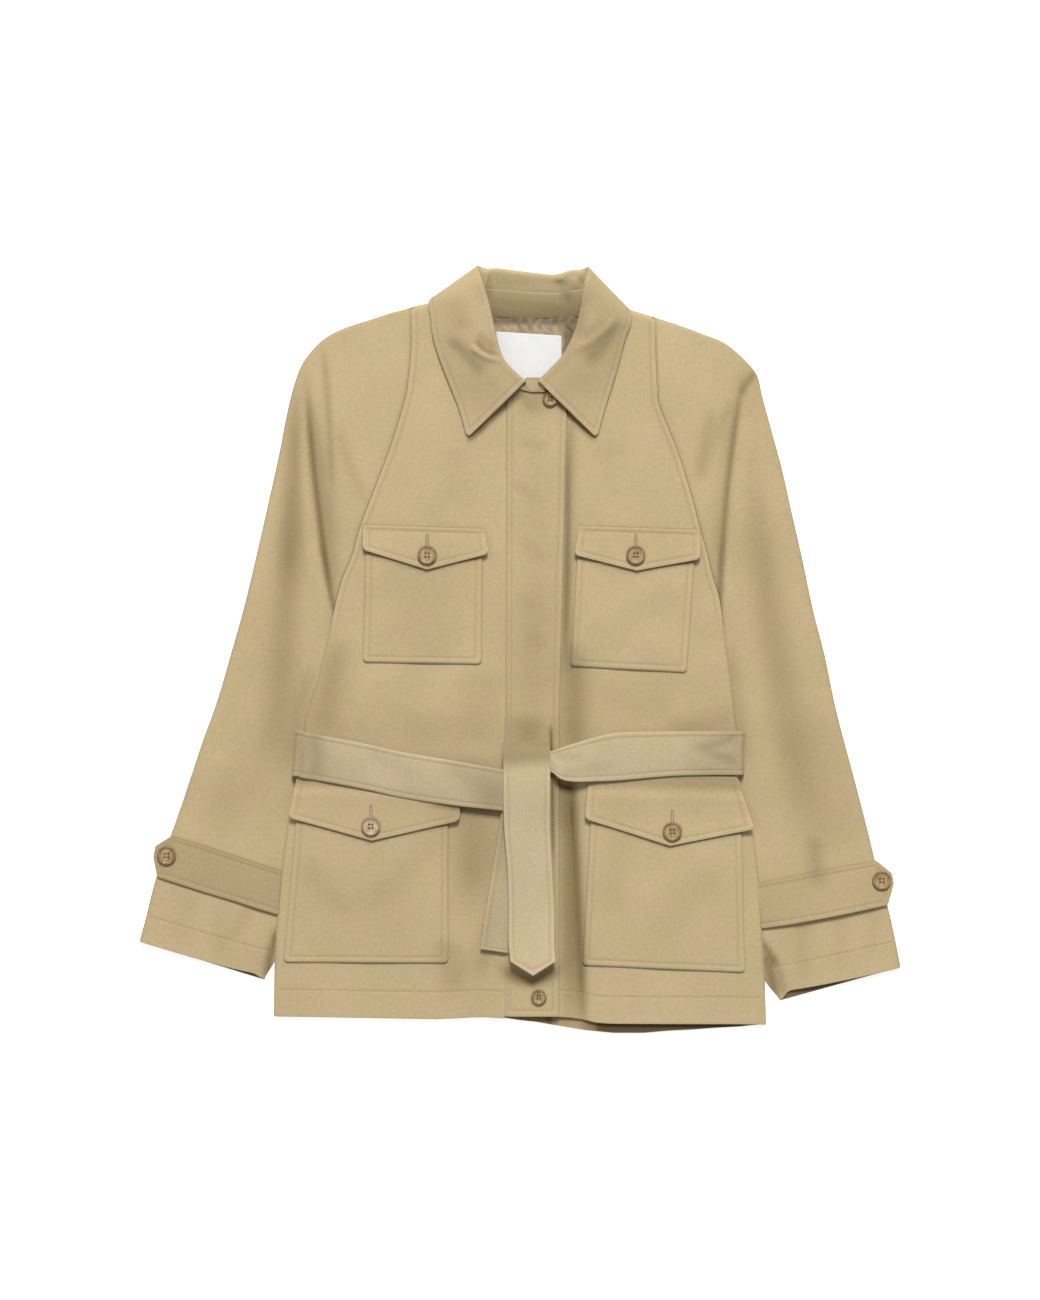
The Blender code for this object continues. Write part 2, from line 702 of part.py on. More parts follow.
def neck_patch(name, corners, under, collection, material):
    """A flat piece inside the neck, on the back panel."""
    top_right, top_left, low_left, low_right = [np.array(corner, float) for corner in corners]
    rows = []
    for up in (0.0, 0.5, 1.0):
        right = low_right + (top_right - low_right) * up
        left = low_left + (top_left - low_left) * up
        rows.append([(*(right + (left - right) * share), under + LABEL) for share in (0.0, 0.5, 1.0)])
    return cloth(name, rows, LABEL, collection, material)


def surface_under(sewn_to, x, y):
    if sewn_to == "placket":
        return placket_level(x, y)
    if sewn_to == "cuff_tab":
        return tab_level(x, y)
    return flap_level(sewn_to, x, y)


def button(name, collection, material):
    """A turned button with a raised rim, resting on the highest point under it."""
    x, y, radius, sewn_to = BUTTONS[name]
    under = [surface_under(sewn_to, x, y)]
    for angle in np.linspace(0.0, 2 * math.pi, 13):
        under.append(surface_under(sewn_to, x + radius * math.cos(angle), y + radius * math.sin(angle)))
    seat = max(under) + SEAM
    top = BUTTON_HEIGHT
    profile = (
        (0.0, 0.0),
        (radius - 1.2, 0.0),
        (radius, 1.2),
        (radius - 0.4, top - 0.4),
        (radius - 1.3, top),
        (radius - 2.6, top - 0.9),
        (0.0, top - 1.1),
    )
    mesh = bpy.data.meshes.new(name)
    edges = [(index, index + 1) for index in range(len(profile) - 1)]
    mesh.from_pydata([(reach * MM, 0.0, height * MM) for reach, height in profile], edges, [])
    piece = place(name, mesh, collection, material)
    piece.location = (x * MM, y * MM, seat * MM)
    turned = piece.modifiers.new("Turned", "SCREW")
    turned.axis = "Z"
    turned.angle = 2 * math.pi
    turned.steps = BUTTON_STEPS
    turned.render_steps = BUTTON_STEPS
    turned.use_merge_vertices = True
    turned.merge_threshold = 0.00001
    turned.use_normal_calculate = True
    return piece


def main():
    for thing in list(bpy.data.objects):
        bpy.data.objects.remove(thing, do_unlink=True)
    jacket = bpy.data.collections.new("belted_light_jacket")
    bpy.context.scene.collection.children.link(jacket)
    names = (
        "back front_right front_left placket sleeve_right sleeve_left collar_stand collar_leaf "
        "belt_run_right belt_run_left belt_back belt_end belt_tail cuff_tab_right cuff_tab_left"
    ).split()
    khaki = {name: matte(name, CLOTH_COLOUR, 0.9) for name in names + list(POCKETS) + list(FLAPS)}
    back(jacket, khaki["back"])
    front("front_right", True, jacket, khaki["front_right"])
    front("front_left", False, jacket, khaki["front_left"])
    placket(jacket, khaki["placket"])
    sleeve("sleeve_right", SLEEVE_RIGHT, True, jacket, khaki["sleeve_right"])
    sleeve("sleeve_left", SLEEVE_LEFT, False, jacket, khaki["sleeve_left"])
    collar("collar_stand", "stand", jacket, khaki["collar_stand"])
    collar("collar_leaf", "leaf", jacket, khaki["collar_leaf"])
    lining = matte("neck_lining", LINING_COLOUR, 0.7)
    label = matte("neck_label", LABEL_COLOUR, 0.6)
    neck_patch("neck_lining", NECK_LINING, CLOTH + SEAM, jacket, lining)
    neck_patch("neck_label", NECK_LABEL, CLOTH + 2 * SEAM + LABEL, jacket, label)
    for name in POCKETS:
        pocket(name, jacket, khaki[name])
    for name in FLAPS:
        flap(name, jacket, khaki[name])
    belt_run("belt_run_right", BELT_RUN_RIGHT, True, jacket, khaki["belt_run_right"])
    belt_run("belt_run_left", BELT_RUN_LEFT, False, jacket, khaki["belt_run_left"])
    belt_back(jacket, khaki["belt_back"])
    belt_end(jacket, khaki["belt_end"])
    belt_tail(jacket, khaki["belt_tail"])
    cuff_tab("cuff_tab_right", CUFF_TAB_RIGHT, True, jacket, khaki["cuff_tab_right"])
    cuff_tab("cuff_tab_left", CUFF_TAB_LEFT, False, jacket, khaki["cuff_tab_left"])
    for name in BUTTONS:
        button(name, jacket, matte(name, BUTTON_COLOUR, 0.4))


main()
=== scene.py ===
"""A belted light jacket of khaki twill, laid out flat on its back, seen from straight above.

Right and left are the wearer's, so the right side lies towards -X and the collar towards +Y.
Shapes are in millimetres until a mesh is made. Heights are above the surface it lies on.
"""

import math
from collections import namedtuple

import bmesh
import bpy
import numpy as np
from mathutils import Matrix


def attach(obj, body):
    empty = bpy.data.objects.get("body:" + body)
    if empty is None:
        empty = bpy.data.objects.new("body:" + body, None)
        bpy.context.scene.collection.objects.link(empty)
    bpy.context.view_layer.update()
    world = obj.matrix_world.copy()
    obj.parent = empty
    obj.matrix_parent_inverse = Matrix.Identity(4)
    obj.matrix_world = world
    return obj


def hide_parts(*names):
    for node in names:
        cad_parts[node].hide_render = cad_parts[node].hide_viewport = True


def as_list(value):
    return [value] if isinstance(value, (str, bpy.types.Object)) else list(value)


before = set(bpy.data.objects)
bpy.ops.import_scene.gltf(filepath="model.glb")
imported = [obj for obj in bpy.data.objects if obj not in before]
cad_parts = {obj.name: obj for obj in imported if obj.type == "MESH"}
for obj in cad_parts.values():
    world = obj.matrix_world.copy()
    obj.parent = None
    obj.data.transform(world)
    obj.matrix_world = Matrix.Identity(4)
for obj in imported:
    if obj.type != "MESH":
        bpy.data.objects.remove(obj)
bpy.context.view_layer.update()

MM = 0.001

# The camera looks straight down and frames 1300 pixels of 0.96 mm from top to bottom. It and the floor are
# in metres, its sensor in millimetres.
CAMERA_DISTANCE = 3.2
CAMERA_FOCUS_HEIGHT = 0.008
FRAME_HEIGHT = 1300 * 0.00096
SENSOR_WIDTH = 36.0
FLOOR_HEIGHT = -0.0004

# Heights of the layers, as in the solids
CLOTH = 2.0
TRIM = 1.8
BELT = 2.2
SEAM = 0.3
LABEL = 1.0
LAID = 0.6
AIR = 2.6
FRONT_TOP = 2 * CLOTH + AIR
FLOOR_GAP = 0.05

# How far edges and folds are rounded, and how far pieces run on under others
EDGE_ROLL = 6.0
SLEEVE_FOLD = 4.0
SLEEVE_UNDER = 3.0
COLLAR_ROLL = 4.2
BELT_TURN = 6.0
BELT_UNDER = 3.0

# Sleeves: the slope down to its foot at the side of the body, the swell of the top, the dip at the raglan
# seam and the points near it, the painted shade at the seam and in the cuff, and the row that gives the
# cuff's run
SLEEVE_SLOPE = 36.0
SLEEVE_FOOT = 1.9
SLEEVE_BULGE = 1.6
SLEEVE_SEAM_DIP = 1.6
SLEEVE_SEAM_POINTS = (0.0, 0.6, 1.2, 2.0, 2.8, 3.6, 4.6, 6.0, 9.0, 13.0)
RAGLAN_PAINTED_SHADE = 0.55
CUFF_DEPTH = 60.0
CUFF_PAINTED_SHADE = 0.93
CUFF_ROW = 50

# Walls of the visible cloth
PANEL_WALL = 1.3
PATCH_WALL = 1.5
BELT_WALL = 1.7
BELT_RUN_WALL = 0.8
LEAF_WALL = 1.7
LINING_WALL = 0.6

# Reach and depth of turned edges: the worn edge, the stitch groove, and the puff between them
WEAR_REACH = 1.6
GROOVE_HALF = 0.75
GROOVE_DEPTH = 0.32
SEAM_PUFF = 0.22
HEM_PUFF = 0.1
PUFF_WIDTH = 7.0
# Painted shade on rims that roll down away from the light
RIM_PAINTED_SHADE = 0.4

# Distances from an edge, or from a stitch line, at which a sheet has points
EDGE_POINTS = (0.0, 0.25, 0.7, 1.3, 2.1, 3.0)
HEM_POINTS = (0.0, 0.25, 0.7, 1.3, 2.1, 3.5, 6.0, 9.0, 13.0, 17.0, 21.0, 23.6)
BACK_HEM_POINTS = (0.0, 0.3, 0.8, 1.6, 3.0, 6.0, 12.0, 18.0, 23.0)
SHOULDER_POINTS = (0.0, 0.2, 0.6, 1.4, 2.6, 4.2, 6.0, 8.0)
TIP_POINTS = (0.0, 0.3, 0.8, 1.5, 2.3, 3.2, 4.2, 5.0, 5.6)
GROOVE_STEPS = (-1.2, -0.6, 0.0, 0.6, 1.2)
PAST_GROOVE = 2.4
PAST_HEM_GROOVE = 2.6

# Distances of the stitch lines from their edges
RAGLAN_STITCH = 5.6
HEM_STITCH = 26.0
FLAP_STITCH = 5.2
FLAP_SIDE_STITCH = 6.4
POCKET_STITCH = 6.2
PLACKET_STITCH = 5.8
BELT_STITCH = 4.8
TAB_STITCH = 5.0
COLLAR_STITCH = 5.2

# The seam under the arm, the belt across the back with the lift over it, and the neck
ARMPIT_Y = 44.0
ARMPIT_CLOSE = 45.0
BELT_BACK_Y = -99.0
BELT_BACK_HALF = 20.5
BELT_BACK_RIGHT = -201.4
BELT_BACK_LEFT = 204.4
BELT_LIFT = BELT + 0.4
BELT_LIFT_FLAT = 25.0
BELT_LIFT_END = 66.0
NECK_CENTRE = (12.0, 285.0)
NECK_REACH = 60.0
NECK_RAISE = 1.6
BACK_NECK_X = 11.0
BACK_NECK_DIP = 8.0
BACK_NECK_HALF = 78.0
BACK_NECK_FADE = 30.0

# Along the hem, by x: how far the back hangs below the fronts, how much shade is painted on it there, and
# how far the left front and then the right front are drawn up
HEM_DROP = (
    (-81, 0), (-62, -1.2), (-47, -2.4), (-33, -2.8), (-15, -2.0), (0, 0), (15, 1.3), (38, 4.8), (61, 8.3),
    (90, 10.7), (119, 10.2), (142, 7.8), (165, 6.3), (188, 4.2), (211, 2.6), (228, 0.6), (237, 0),
)
HEM_PAINTED_SHADE = (
    (-40, 0.0), (-16, 0.7), (30, 0.95), (37, 0.4), (55, 0.3),
    (66, 0.7), (75, 0.97), (215, 0.97), (236, 0.6),
)
HEM_LIFT = (
    (-15, 4.2), (38, 4.2), (50, 3.4), (61, 1.8), (73, -0.8), (84, -1.5), (96, -1.6), (131, -1.1), (205, 0),
)
HEM_LIFT_RIGHT = ((-81, 0), (-62, 1.0), (-47, 2.1), (-33, 2.6), (-19, 1.9))

# From which body section, and over how many, the fronts are drawn up and the back is let down
HEM_LIFT_ROWS = (17.0, 3.0)
HEM_DROP_ROWS = (15.0, 5.0)

# How far up the back's hem the painted shade reaches, the gap under the rim of the fronts, up to where the
# placket covers them, the uneven lie of the back with its inset, and the slope of the shoulders
HEM_PAINTED_SHADE_REACH = 18.0
FRONT_RIM_GAP = 0.2
FRONT_NECK_Y = 247.0
BACK_LIE = 0.25
BACK_RELIEF = -0.42
SHOULDER_SLOPE = 0.27

# Body sections from the shoulder to the hem, with the edges at the centre front
# right_x, right_y, left_x, left_y, right_inner_x, left_inner_x
BODY = (
    (-105, 330, 130, 320, -65, 84),
    (-104, 302, 130, 292, -48, 63),
    (-105, 280, 131, 266, -31, 44),
    (-107, 261, 132, 250, -19, 24),
    (-110, 242, 134, 234, -14, -6),
    (-124, 196, 151, 191, -14, -6),
    (-137, 161, 164, 150, -14, -6),
    (-153, 119, 173, 116, -14, -6),
    (-161, 91, 180, 91, -15, -6),
    (-171, 67, 186, 67, -15, -7),
    (-178, 41, 192, 47, -15, -7),
    (-187, 2, 199, 0, -15, -8),
    (-198, -39, 204, -39, -15, -8),
    (-206, -66, 207, -66, -15, -9),
    (-209, -87, 209, -87, -16, -9),
    (-212, -120, 210, -120, -16, -9),
    (-222, -159, 221, -159, -16, -9),
    (-228, -200, 228, -204, -16, -9),
    (-233, -245, 232, -250, -16, -9),
    (-236, -298, 235, -305, -16, -14.8),
    (-237, -352, 237, -360, -16, -14.8),
)

# Sleeve sections from the cuff to the shoulder: outer fold, then underarm or raglan edge
# outer_x, outer_y, inner_x, inner_y
SLEEVE_RIGHT = (
    (-366, -280, -246, -317),
    (-360, -258, -239, -296),
    (-352, -226, -238, -264),
    (-341, -192, -235, -226),
    (-329, -159, -229, -181),
    (-316, -120, -224, -135),
    (-305, -87, -221, -92),
    (-291, -48, -209, -60),
    (-277, 0, -196, -21),
    (-265, 43, -185, 16),
    (-253, 93, -179, 41),
    (-242, 142, -172, 67),
    (-232, 187, -162, 91),
    (-224, 228, -154, 119),
    (-216, 259, -138, 161),
    (-207, 279, -132, 178),
    (-190, 298, -125, 196),
    (-170, 309, -116, 220),
    (-143, 318, -109, 249),
    (-125, 324, -105, 283),
    (-113, 327, -105, 307),
    (-107, 329, -105, 323),
    (-102.5, 330, -102, 326.5),
)
SLEEVE_LEFT = (
    (366, -305, 250, -337),
    (362, -284, 240, -316),
    (355, -252, 237, -284),
    (346, -221, 234, -245),
    (335, -176, 229, -197),
    (324, -133, 222, -149),
    (313, -92, 220, -94),
    (303, -53, 212, -62),
    (293, -5, 206, -29),
    (282, 38, 200, 9),
    (271, 90, 193, 47),
    (261, 134, 187, 67),
    (252, 174, 180, 91),
    (242, 211, 173, 116),
    (233, 244, 165, 150),
    (228, 264, 158, 168),
    (216, 279, 151, 191),
    (197, 295, 142, 213),
    (173, 305, 135, 234),
    (154, 312, 132, 259),
    (139, 317, 131, 289),
    (133, 319, 131, 311),
    (127.5, 321, 127, 317),
)

# Collar sections from the right front round the back to the left front
# seam_x, seam_y, seam_z, roll_x, roll_y, roll_z, edge_x, edge_y, edge_z, turn in degrees
COLLAR = (
    (11.4, 247.5, 10.4, 6, 258, 17.0, -51, 203, 9.8, 0),
    (-3, 252, 11.0, -5, 267, 18.5, -58, 229, 9.8, 0),
    (-17, 264, 10.0, -16, 280, 20.0, -67, 252, 10.0, 0),
    (-30, 280, 9.0, -23, 303, 21.0, -76, 275, 10.0, 0),
    (-41, 296, 9.0, -29, 330, 21.0, -83, 297, 10.0, 10),
    (-52, 314, 8.5, -35, 351, 19.0, -86, 318, 9.5, 35),
    (-59, 328, 7.5, -40, 367, 13.5, -87, 337, 6.0, 90),
    (-48, 323, 4.6, -33, 366, 11.5, -66, 340, 2.0, 140),
    (-36, 320, 3.8, -22, 366.5, 11.0, -38, 327, 0.4, 174),
    (-14, 319, 3.6, -9, 365, 10.5, -13, 325, 0.0, 180),
    (12, 318, 3.6, 12, 362.5, 10.0, 12, 324, 0.0, 180),
    (40, 319, 3.6, 33, 360.5, 10.5, 38, 325, 0.0, 180),
    (60, 320, 3.8, 48, 364.5, 11.0, 63, 326, 0.4, 174),
    (72, 322, 4.6, 58, 365, 11.5, 86, 334, 2.0, 140),
    (83, 326, 7.5, 65, 366, 13.5, 105, 328, 6.0, 90),
    (75, 311, 8.5, 61, 350, 19.0, 107, 314, 9.5, 35),
    (65, 294, 9.0, 57, 328, 21.0, 101, 297, 10.0, 10),
    (56, 280, 9.0, 51, 303, 21.0, 95, 274, 10.0, 0),
    (41, 264, 10.0, 41, 283, 20.0, 88, 251, 10.0, 0),
    (26, 252, 11.0, 29, 270, 18.5, 81, 229, 9.8, 0),
    (12.6, 247.5, 10.4, 17, 258, 17.0, 74, 203, 9.8, 0),
)
LAST_STATION = len(COLLAR) - 1
BACK_STATION = LAST_STATION / 2
FRONT_STATIONS = (6.4, 13.6)
NECK_STATIONS = (7.5, 13.5)
STAND_SHARE = 0.55
STAND_UNDER = 3.0
STAND_LAP = 13.0
STAND_LAP_RISE = 4.6
STAND_LAP_TOP = 5.0
STAND_LAP_GAP = 0.3
# Where the painted shade inside the back of the stand begins, and below which the closing's painted line
# lies
STAND_BACK_Y = 283.0
CLOSING_Y = 270.0
STAND_ROWS = (0.0, 0.02, 0.06, 0.12, 0.2, 0.3, 0.4, 0.5, 0.6, 0.7, 0.8, 0.88, 0.94, 1.0)
LEAF_SWELL = 2.0
LEAF_SETTLE = 3.8
LEAF_SOFT_ROLL = 3.4
CORNER_ROUND = 4.2
POINT_ROUND = 6.0
POINT_STATIONS = 20

# Corners of the patch pockets: top right, top left, bottom left, bottom right of the wearer
POCKETS = {
    "chest_pocket_right": ((-148, 114), (-36, 111), (-37, -14), (-151, -12)),
    "chest_pocket_left": ((56, 112), (169, 109), (160, -22), (48, -16)),
    "hip_pocket_right": ((-213, -138), (-69, -140), (-69, -301), (-227, -300)),
    "hip_pocket_left": ((69, -140), (212, -144), (216, -310), (59, -303)),
}
POCKET_PUFF = 1.0
POCKET_TOP_STITCH = 5.0

# Corners of the flaps in the same order, then the point
FLAPS = {
    "chest_flap_right": ((-151, 121), (-34, 117), (-30, 92), (-151, 96), (-89, 77)),
    "chest_flap_left": ((57, 120), (173, 116), (173, 87), (52, 91), (112, 76)),
    "hip_flap_right": ((-220, -126), (-56, -131), (-58, -164), (-222, -161), (-142, -183)),
    "hip_flap_left": ((65, -128), (216, -132), (225, -172), (62, -162), (144, -188)),
}
FLAP_STEP = 14.0
FLAP_SEAM = 2.0
FLAP_TOP = 4.2
FLAP_LIFT = 1.3
FLAP_CORNER_LIFT = 2.2
# Painted shadow on the pockets under the flaps' lower edges
FLAP_PAINTED_SHADOW = {"chest": 0.95, "hip": 0.62}
FLAP_TUCK = {"hip_flap_right": ((7, 10), (0, 10)), "hip_flap_left": ((1, 11), (-8, 11))}

BUTTON_RADIUS = 9.2
SMALL_BUTTON_RADIUS = 7.4
BUTTON_HEIGHT = 3.2
BUTTON_SPOKES = 48
HOLE_RADIUS = 0.95
HOLE_SPREAD = 0.19
HOLE_DEPTH = 8.0
HOLE_SIDES = ((-1.0, -1.0), (-1.0, 1.0), (1.0, -1.0), (1.0, 1.0))

# Stitches: their pitch, then the length, width and thickness of each
STITCH_SIZES = ("Pitch", "Along", "Across", "Thickness")
SEAM_STITCHES = (3.1, 2.55, 0.5, 0.34)
BUTTON_STITCHES = (0.7, 1.1, 0.75, 0.6)
HOLE_STITCHES = (0.5, 0.5, 1.4, 0.35)

# Buttons: x, y, radius, what each is sewn to, and its horn's shade
BUTTONS = {
    "button_neck": (29, 241, SMALL_BUTTON_RADIUS, "placket", 0.05),
    "button_hem": (18, -333, SMALL_BUTTON_RADIUS, "placket", 0.10),
    "button_chest_right": (-89, 91, BUTTON_RADIUS, "chest_flap_right", 0.30),
    "button_chest_left": (111, 91, BUTTON_RADIUS, "chest_flap_left", 0.28),
    "button_hip_right": (-143, -169, BUTTON_RADIUS, "hip_flap_right", 0.95),
    "button_hip_left": (146, -174, BUTTON_RADIUS, "hip_flap_left", 0.15),
    "button_cuff_right": (-339, -197, BUTTON_RADIUS, "cuff_tab", 0.2),
    "button_cuff_left": (347, -221, BUTTON_RADIUS, "cuff_tab", 0.2),
}

# The placket's sewn edge and its free edge
# y, edge_x
PLACKET_SEAM = ((-352, -15.5), (-90, -15.5), (-60, -14.4), (250, -13.4))
PLACKET_FREE = ((-352, 37), (-48, 38), (211, 45), (270, 46))
PLACKET_RISE_X = -15.5
PLACKET_RISE = 6.0
PLACKET_HEM_Y = -352.0
PLACKET_NECK_X = 12.0
PLACKET_NECK_Y = 249.0
PLACKET_NECK_CURVE = 0.020
PLACKET_OVER = 0.5

# The belt from each side to the knot, and how far it rises over the front
# upper_x, upper_y, lower_x, lower_y, rise
BELT_RUN_RIGHT = (
    (-215, -77, -219, -121, 4.0),
    (-183, -83, -183, -127, 4.1),
    (-147, -90, -147, -134, 4.5),
    (-111, -98, -111, -142, 4.5),
    (-64, -106, -64, -149, 5.9),
    (-18, -114, -18, -154, 7.0),
    (4, -118, 4, -157, 5.6),
)
BELT_RUN_LEFT = (
    (215.5, -78, 215, -120, 2.6),
    (180, -78, 180, -120, 2.8),
    (143, -78, 143, -121, 3.0),
    (96, -79, 96, -125, 3.8),
    (74, -83, 74, -126, 4.8),
    (50, -90, 50, -126, 6.8),
    (38, -94, 38, -123, 7.4),
    (29, -97, 29, -117, 6.4),
    (8, -99, 8, -117, 5.6),
)

# The pointed end of the belt from the top of the knot down
# y, right_x, left_x, rise over the placket
BELT_END = (
    (-88, -15.6, 28.8, -1.5),
    (-91, -15.8, 28.9, -0.9),
    (-94, -16, 29, 1.6),
    (-97.5, -16.2, 29, 4.6),
    (-101, -16.4, 29, 6.4),
    (-109, -16, 29, 7.6),
    (-122, -16, 29, 8.2),
    (-150, -16, 29, 7.9),
    (-175, -15, 29, 6.4),
    (-212, -12, 31, 5.4),
    (-250, -11, 33, 5.2),
    (-279, -11, 33, 7.8),
    (-298, -9, 34, 11.0),
)
BELT_END_POINT = 13.5
BELT_END_BOW = 0.7
BELT_RUN_BOW = 0.9
BELT_RUN_SHADE = 0.07
BELT_DROOP_X = 56.0
KNOT_LIFT = 3.6
KNOT_LIFT_X = (26.0, 74.0)
KNOT_SINK = 2.4
KNOT_SEWN_Y = -130.0
KNOT_PAINTED_SHADE_Y = -119.0
BELT_END_BEHIND_Y = -134.0

# The square end behind it
# y, right_x, left_x
BELT_TAIL = ((-140, -16, 26), (-190, -23, 19), (-240, -31, 11), (-287, -38, 4))
BELT_TAIL_SLANT = 6.0
BELT_TAIL_PAINTED_SHADE_Y = -250.0

# The cuff straps from the side of the body to their points
# upper_x, upper_y, lower_x, lower_y
CUFF_TAB_RIGHT = (
    (-228, -212, -231, -255),
    (-262, -201, -268, -243),
    (-298, -189, -308, -231),
    (-334, -178, -348, -218),
    (-350, -188, -352, -199),
)
CUFF_TAB_LEFT = (
    (226, -224, 231, -268),
    (262, -217, 268, -262),
    (302, -209, 310, -254),
    (342, -202, 353, -245),
    (357, -214, 359, -224),
)

# Inside the neck: corners as for the pockets, and where the gathers and the painted shadows of the collar
# lie
NECK_LINING = ((-42, 322), (67, 322), (61, 238), (-33, 238))
NECK_LABEL = ((-23, 306), (40, 302), (40, 257.5), (-23, 258.5))
LINING_GATHER_Y = 311.0
LEAF_PAINTED_SHADOW_X = 40.5
STAND_PAINTED_SHADOW_Y = 310.0

# What shows of each piece as it is cut, all round on the sleeves: width and length in metres, area in
# square metres, how it is held and what it lies on
CUTS = {
    "back": (0.476, 0.700, 0.256, "laid", ("belt_back",)),
    "front_right": (0.223, 0.700, 0.113, "laid", ("back",)),
    "front_left": (0.250, 0.700, 0.134, "laid", ("back",)),
    "placket": (0.062, 0.606, 0.0336, "laid", ("front_right", "front_left")),
    "sleeve_right": (0.270, 0.700, 0.133, "folded", ()),
    "sleeve_left": (0.270, 0.700, 0.134, "folded", ()),
    "collar_stand": (0.330, 0.030, 0.0065, "folded", ("back", "front_right", "front_left")),
    "collar_leaf": (0.430, 0.090, 0.0289, "folded", ("front_right", "front_left", "collar_stand")),
    "neck_lining": (0.110, 0.085, 0.0087, "laid", ("back",)),
    "neck_label": (0.063, 0.047, 0.0029, "laid", ("neck_lining",)),
    "chest_pocket_right": (0.116, 0.128, 0.0146, "laid", ("front_right",)),
    "chest_pocket_left": (0.116, 0.134, 0.0150, "laid", ("front_left",)),
    "hip_pocket_right": (0.160, 0.166, 0.0260, "laid", ("front_right",)),
    "hip_pocket_left": (0.160, 0.172, 0.0267, "laid", ("front_left",)),
    "chest_flap_right": (0.122, 0.046, 0.0043, "laid", ("front_right", "chest_pocket_right")),
    "chest_flap_left": (0.122, 0.046, 0.0045, "laid", ("front_left", "chest_pocket_left")),
    "hip_flap_right": (0.168, 0.068, 0.0089, "laid", ("front_right", "hip_pocket_right")),
    "hip_flap_left": (0.166, 0.072, 0.0091, "laid", ("front_left", "hip_pocket_left")),
    "belt_run_right": (0.045, 0.240, 0.0105, "folded", ("front_right", "hip_flap_right")),
    "belt_run_left": (0.045, 0.230, 0.0090, "folded", ("front_left", "hip_flap_left")),
    "belt_back": (0.042, 0.408, 0.0171, "laid", ()),
    "belt_end": (0.046, 0.270, 0.0117, "folded", ("placket", "belt_run_right", "belt_run_left")),
    "belt_tail": (0.044, 0.154, 0.0065, "laid", ("placket", "front_right")),
    "cuff_tab_right": (0.045, 0.130, 0.0054, "laid", ("sleeve_right",)),
    "cuff_tab_left": (0.046, 0.138, 0.0060, "laid", ("sleeve_left",)),
}

# The largest folds, as in the solids
# start_x, start_y, end_x, end_y, half_width, height
FOLDS = (
    (-208, 252, -196, 160, 9, -1.5),
    (-196, 160, -180, 52, 9, -1.7),
    (-186, 250, -176, 130, 13, 0.9),
    (215, 262, 204, 180, 9, -1.5),
    (204, 180, 194, 58, 9, -1.7),
    (196, 240, 188, 130, 13, 0.9),
    (-262, 20, -300, -110, 16, 0.9),
    (-232, 10, -262, -120, 14, -0.9),
    (-280, -60, -322, -170, 14, -0.8),
    (262, 40, 290, -80, 16, 0.9),
    (232, 20, 252, -110, 14, -0.9),
    (286, -60, 320, -180, 14, -0.8),
    (54, -132, 55, -300, 8, -1.3),
    (-40, -160, -44, -300, 12, 0.7),
    (-120, 60, -175, 10, 16, -0.8),
    (120, 40, 190, 0, 16, -0.8),
    (-60, 20, -120, -60, 18, -0.8),
    (80, 10, 150, -60, 18, -0.8),
)
FOLD_TAPER = 0.25
FOLD_LIMIT = 2.7
SLACK = 0.42
CREASE_FADE = 0.28
CREASE_STEP = 1.4
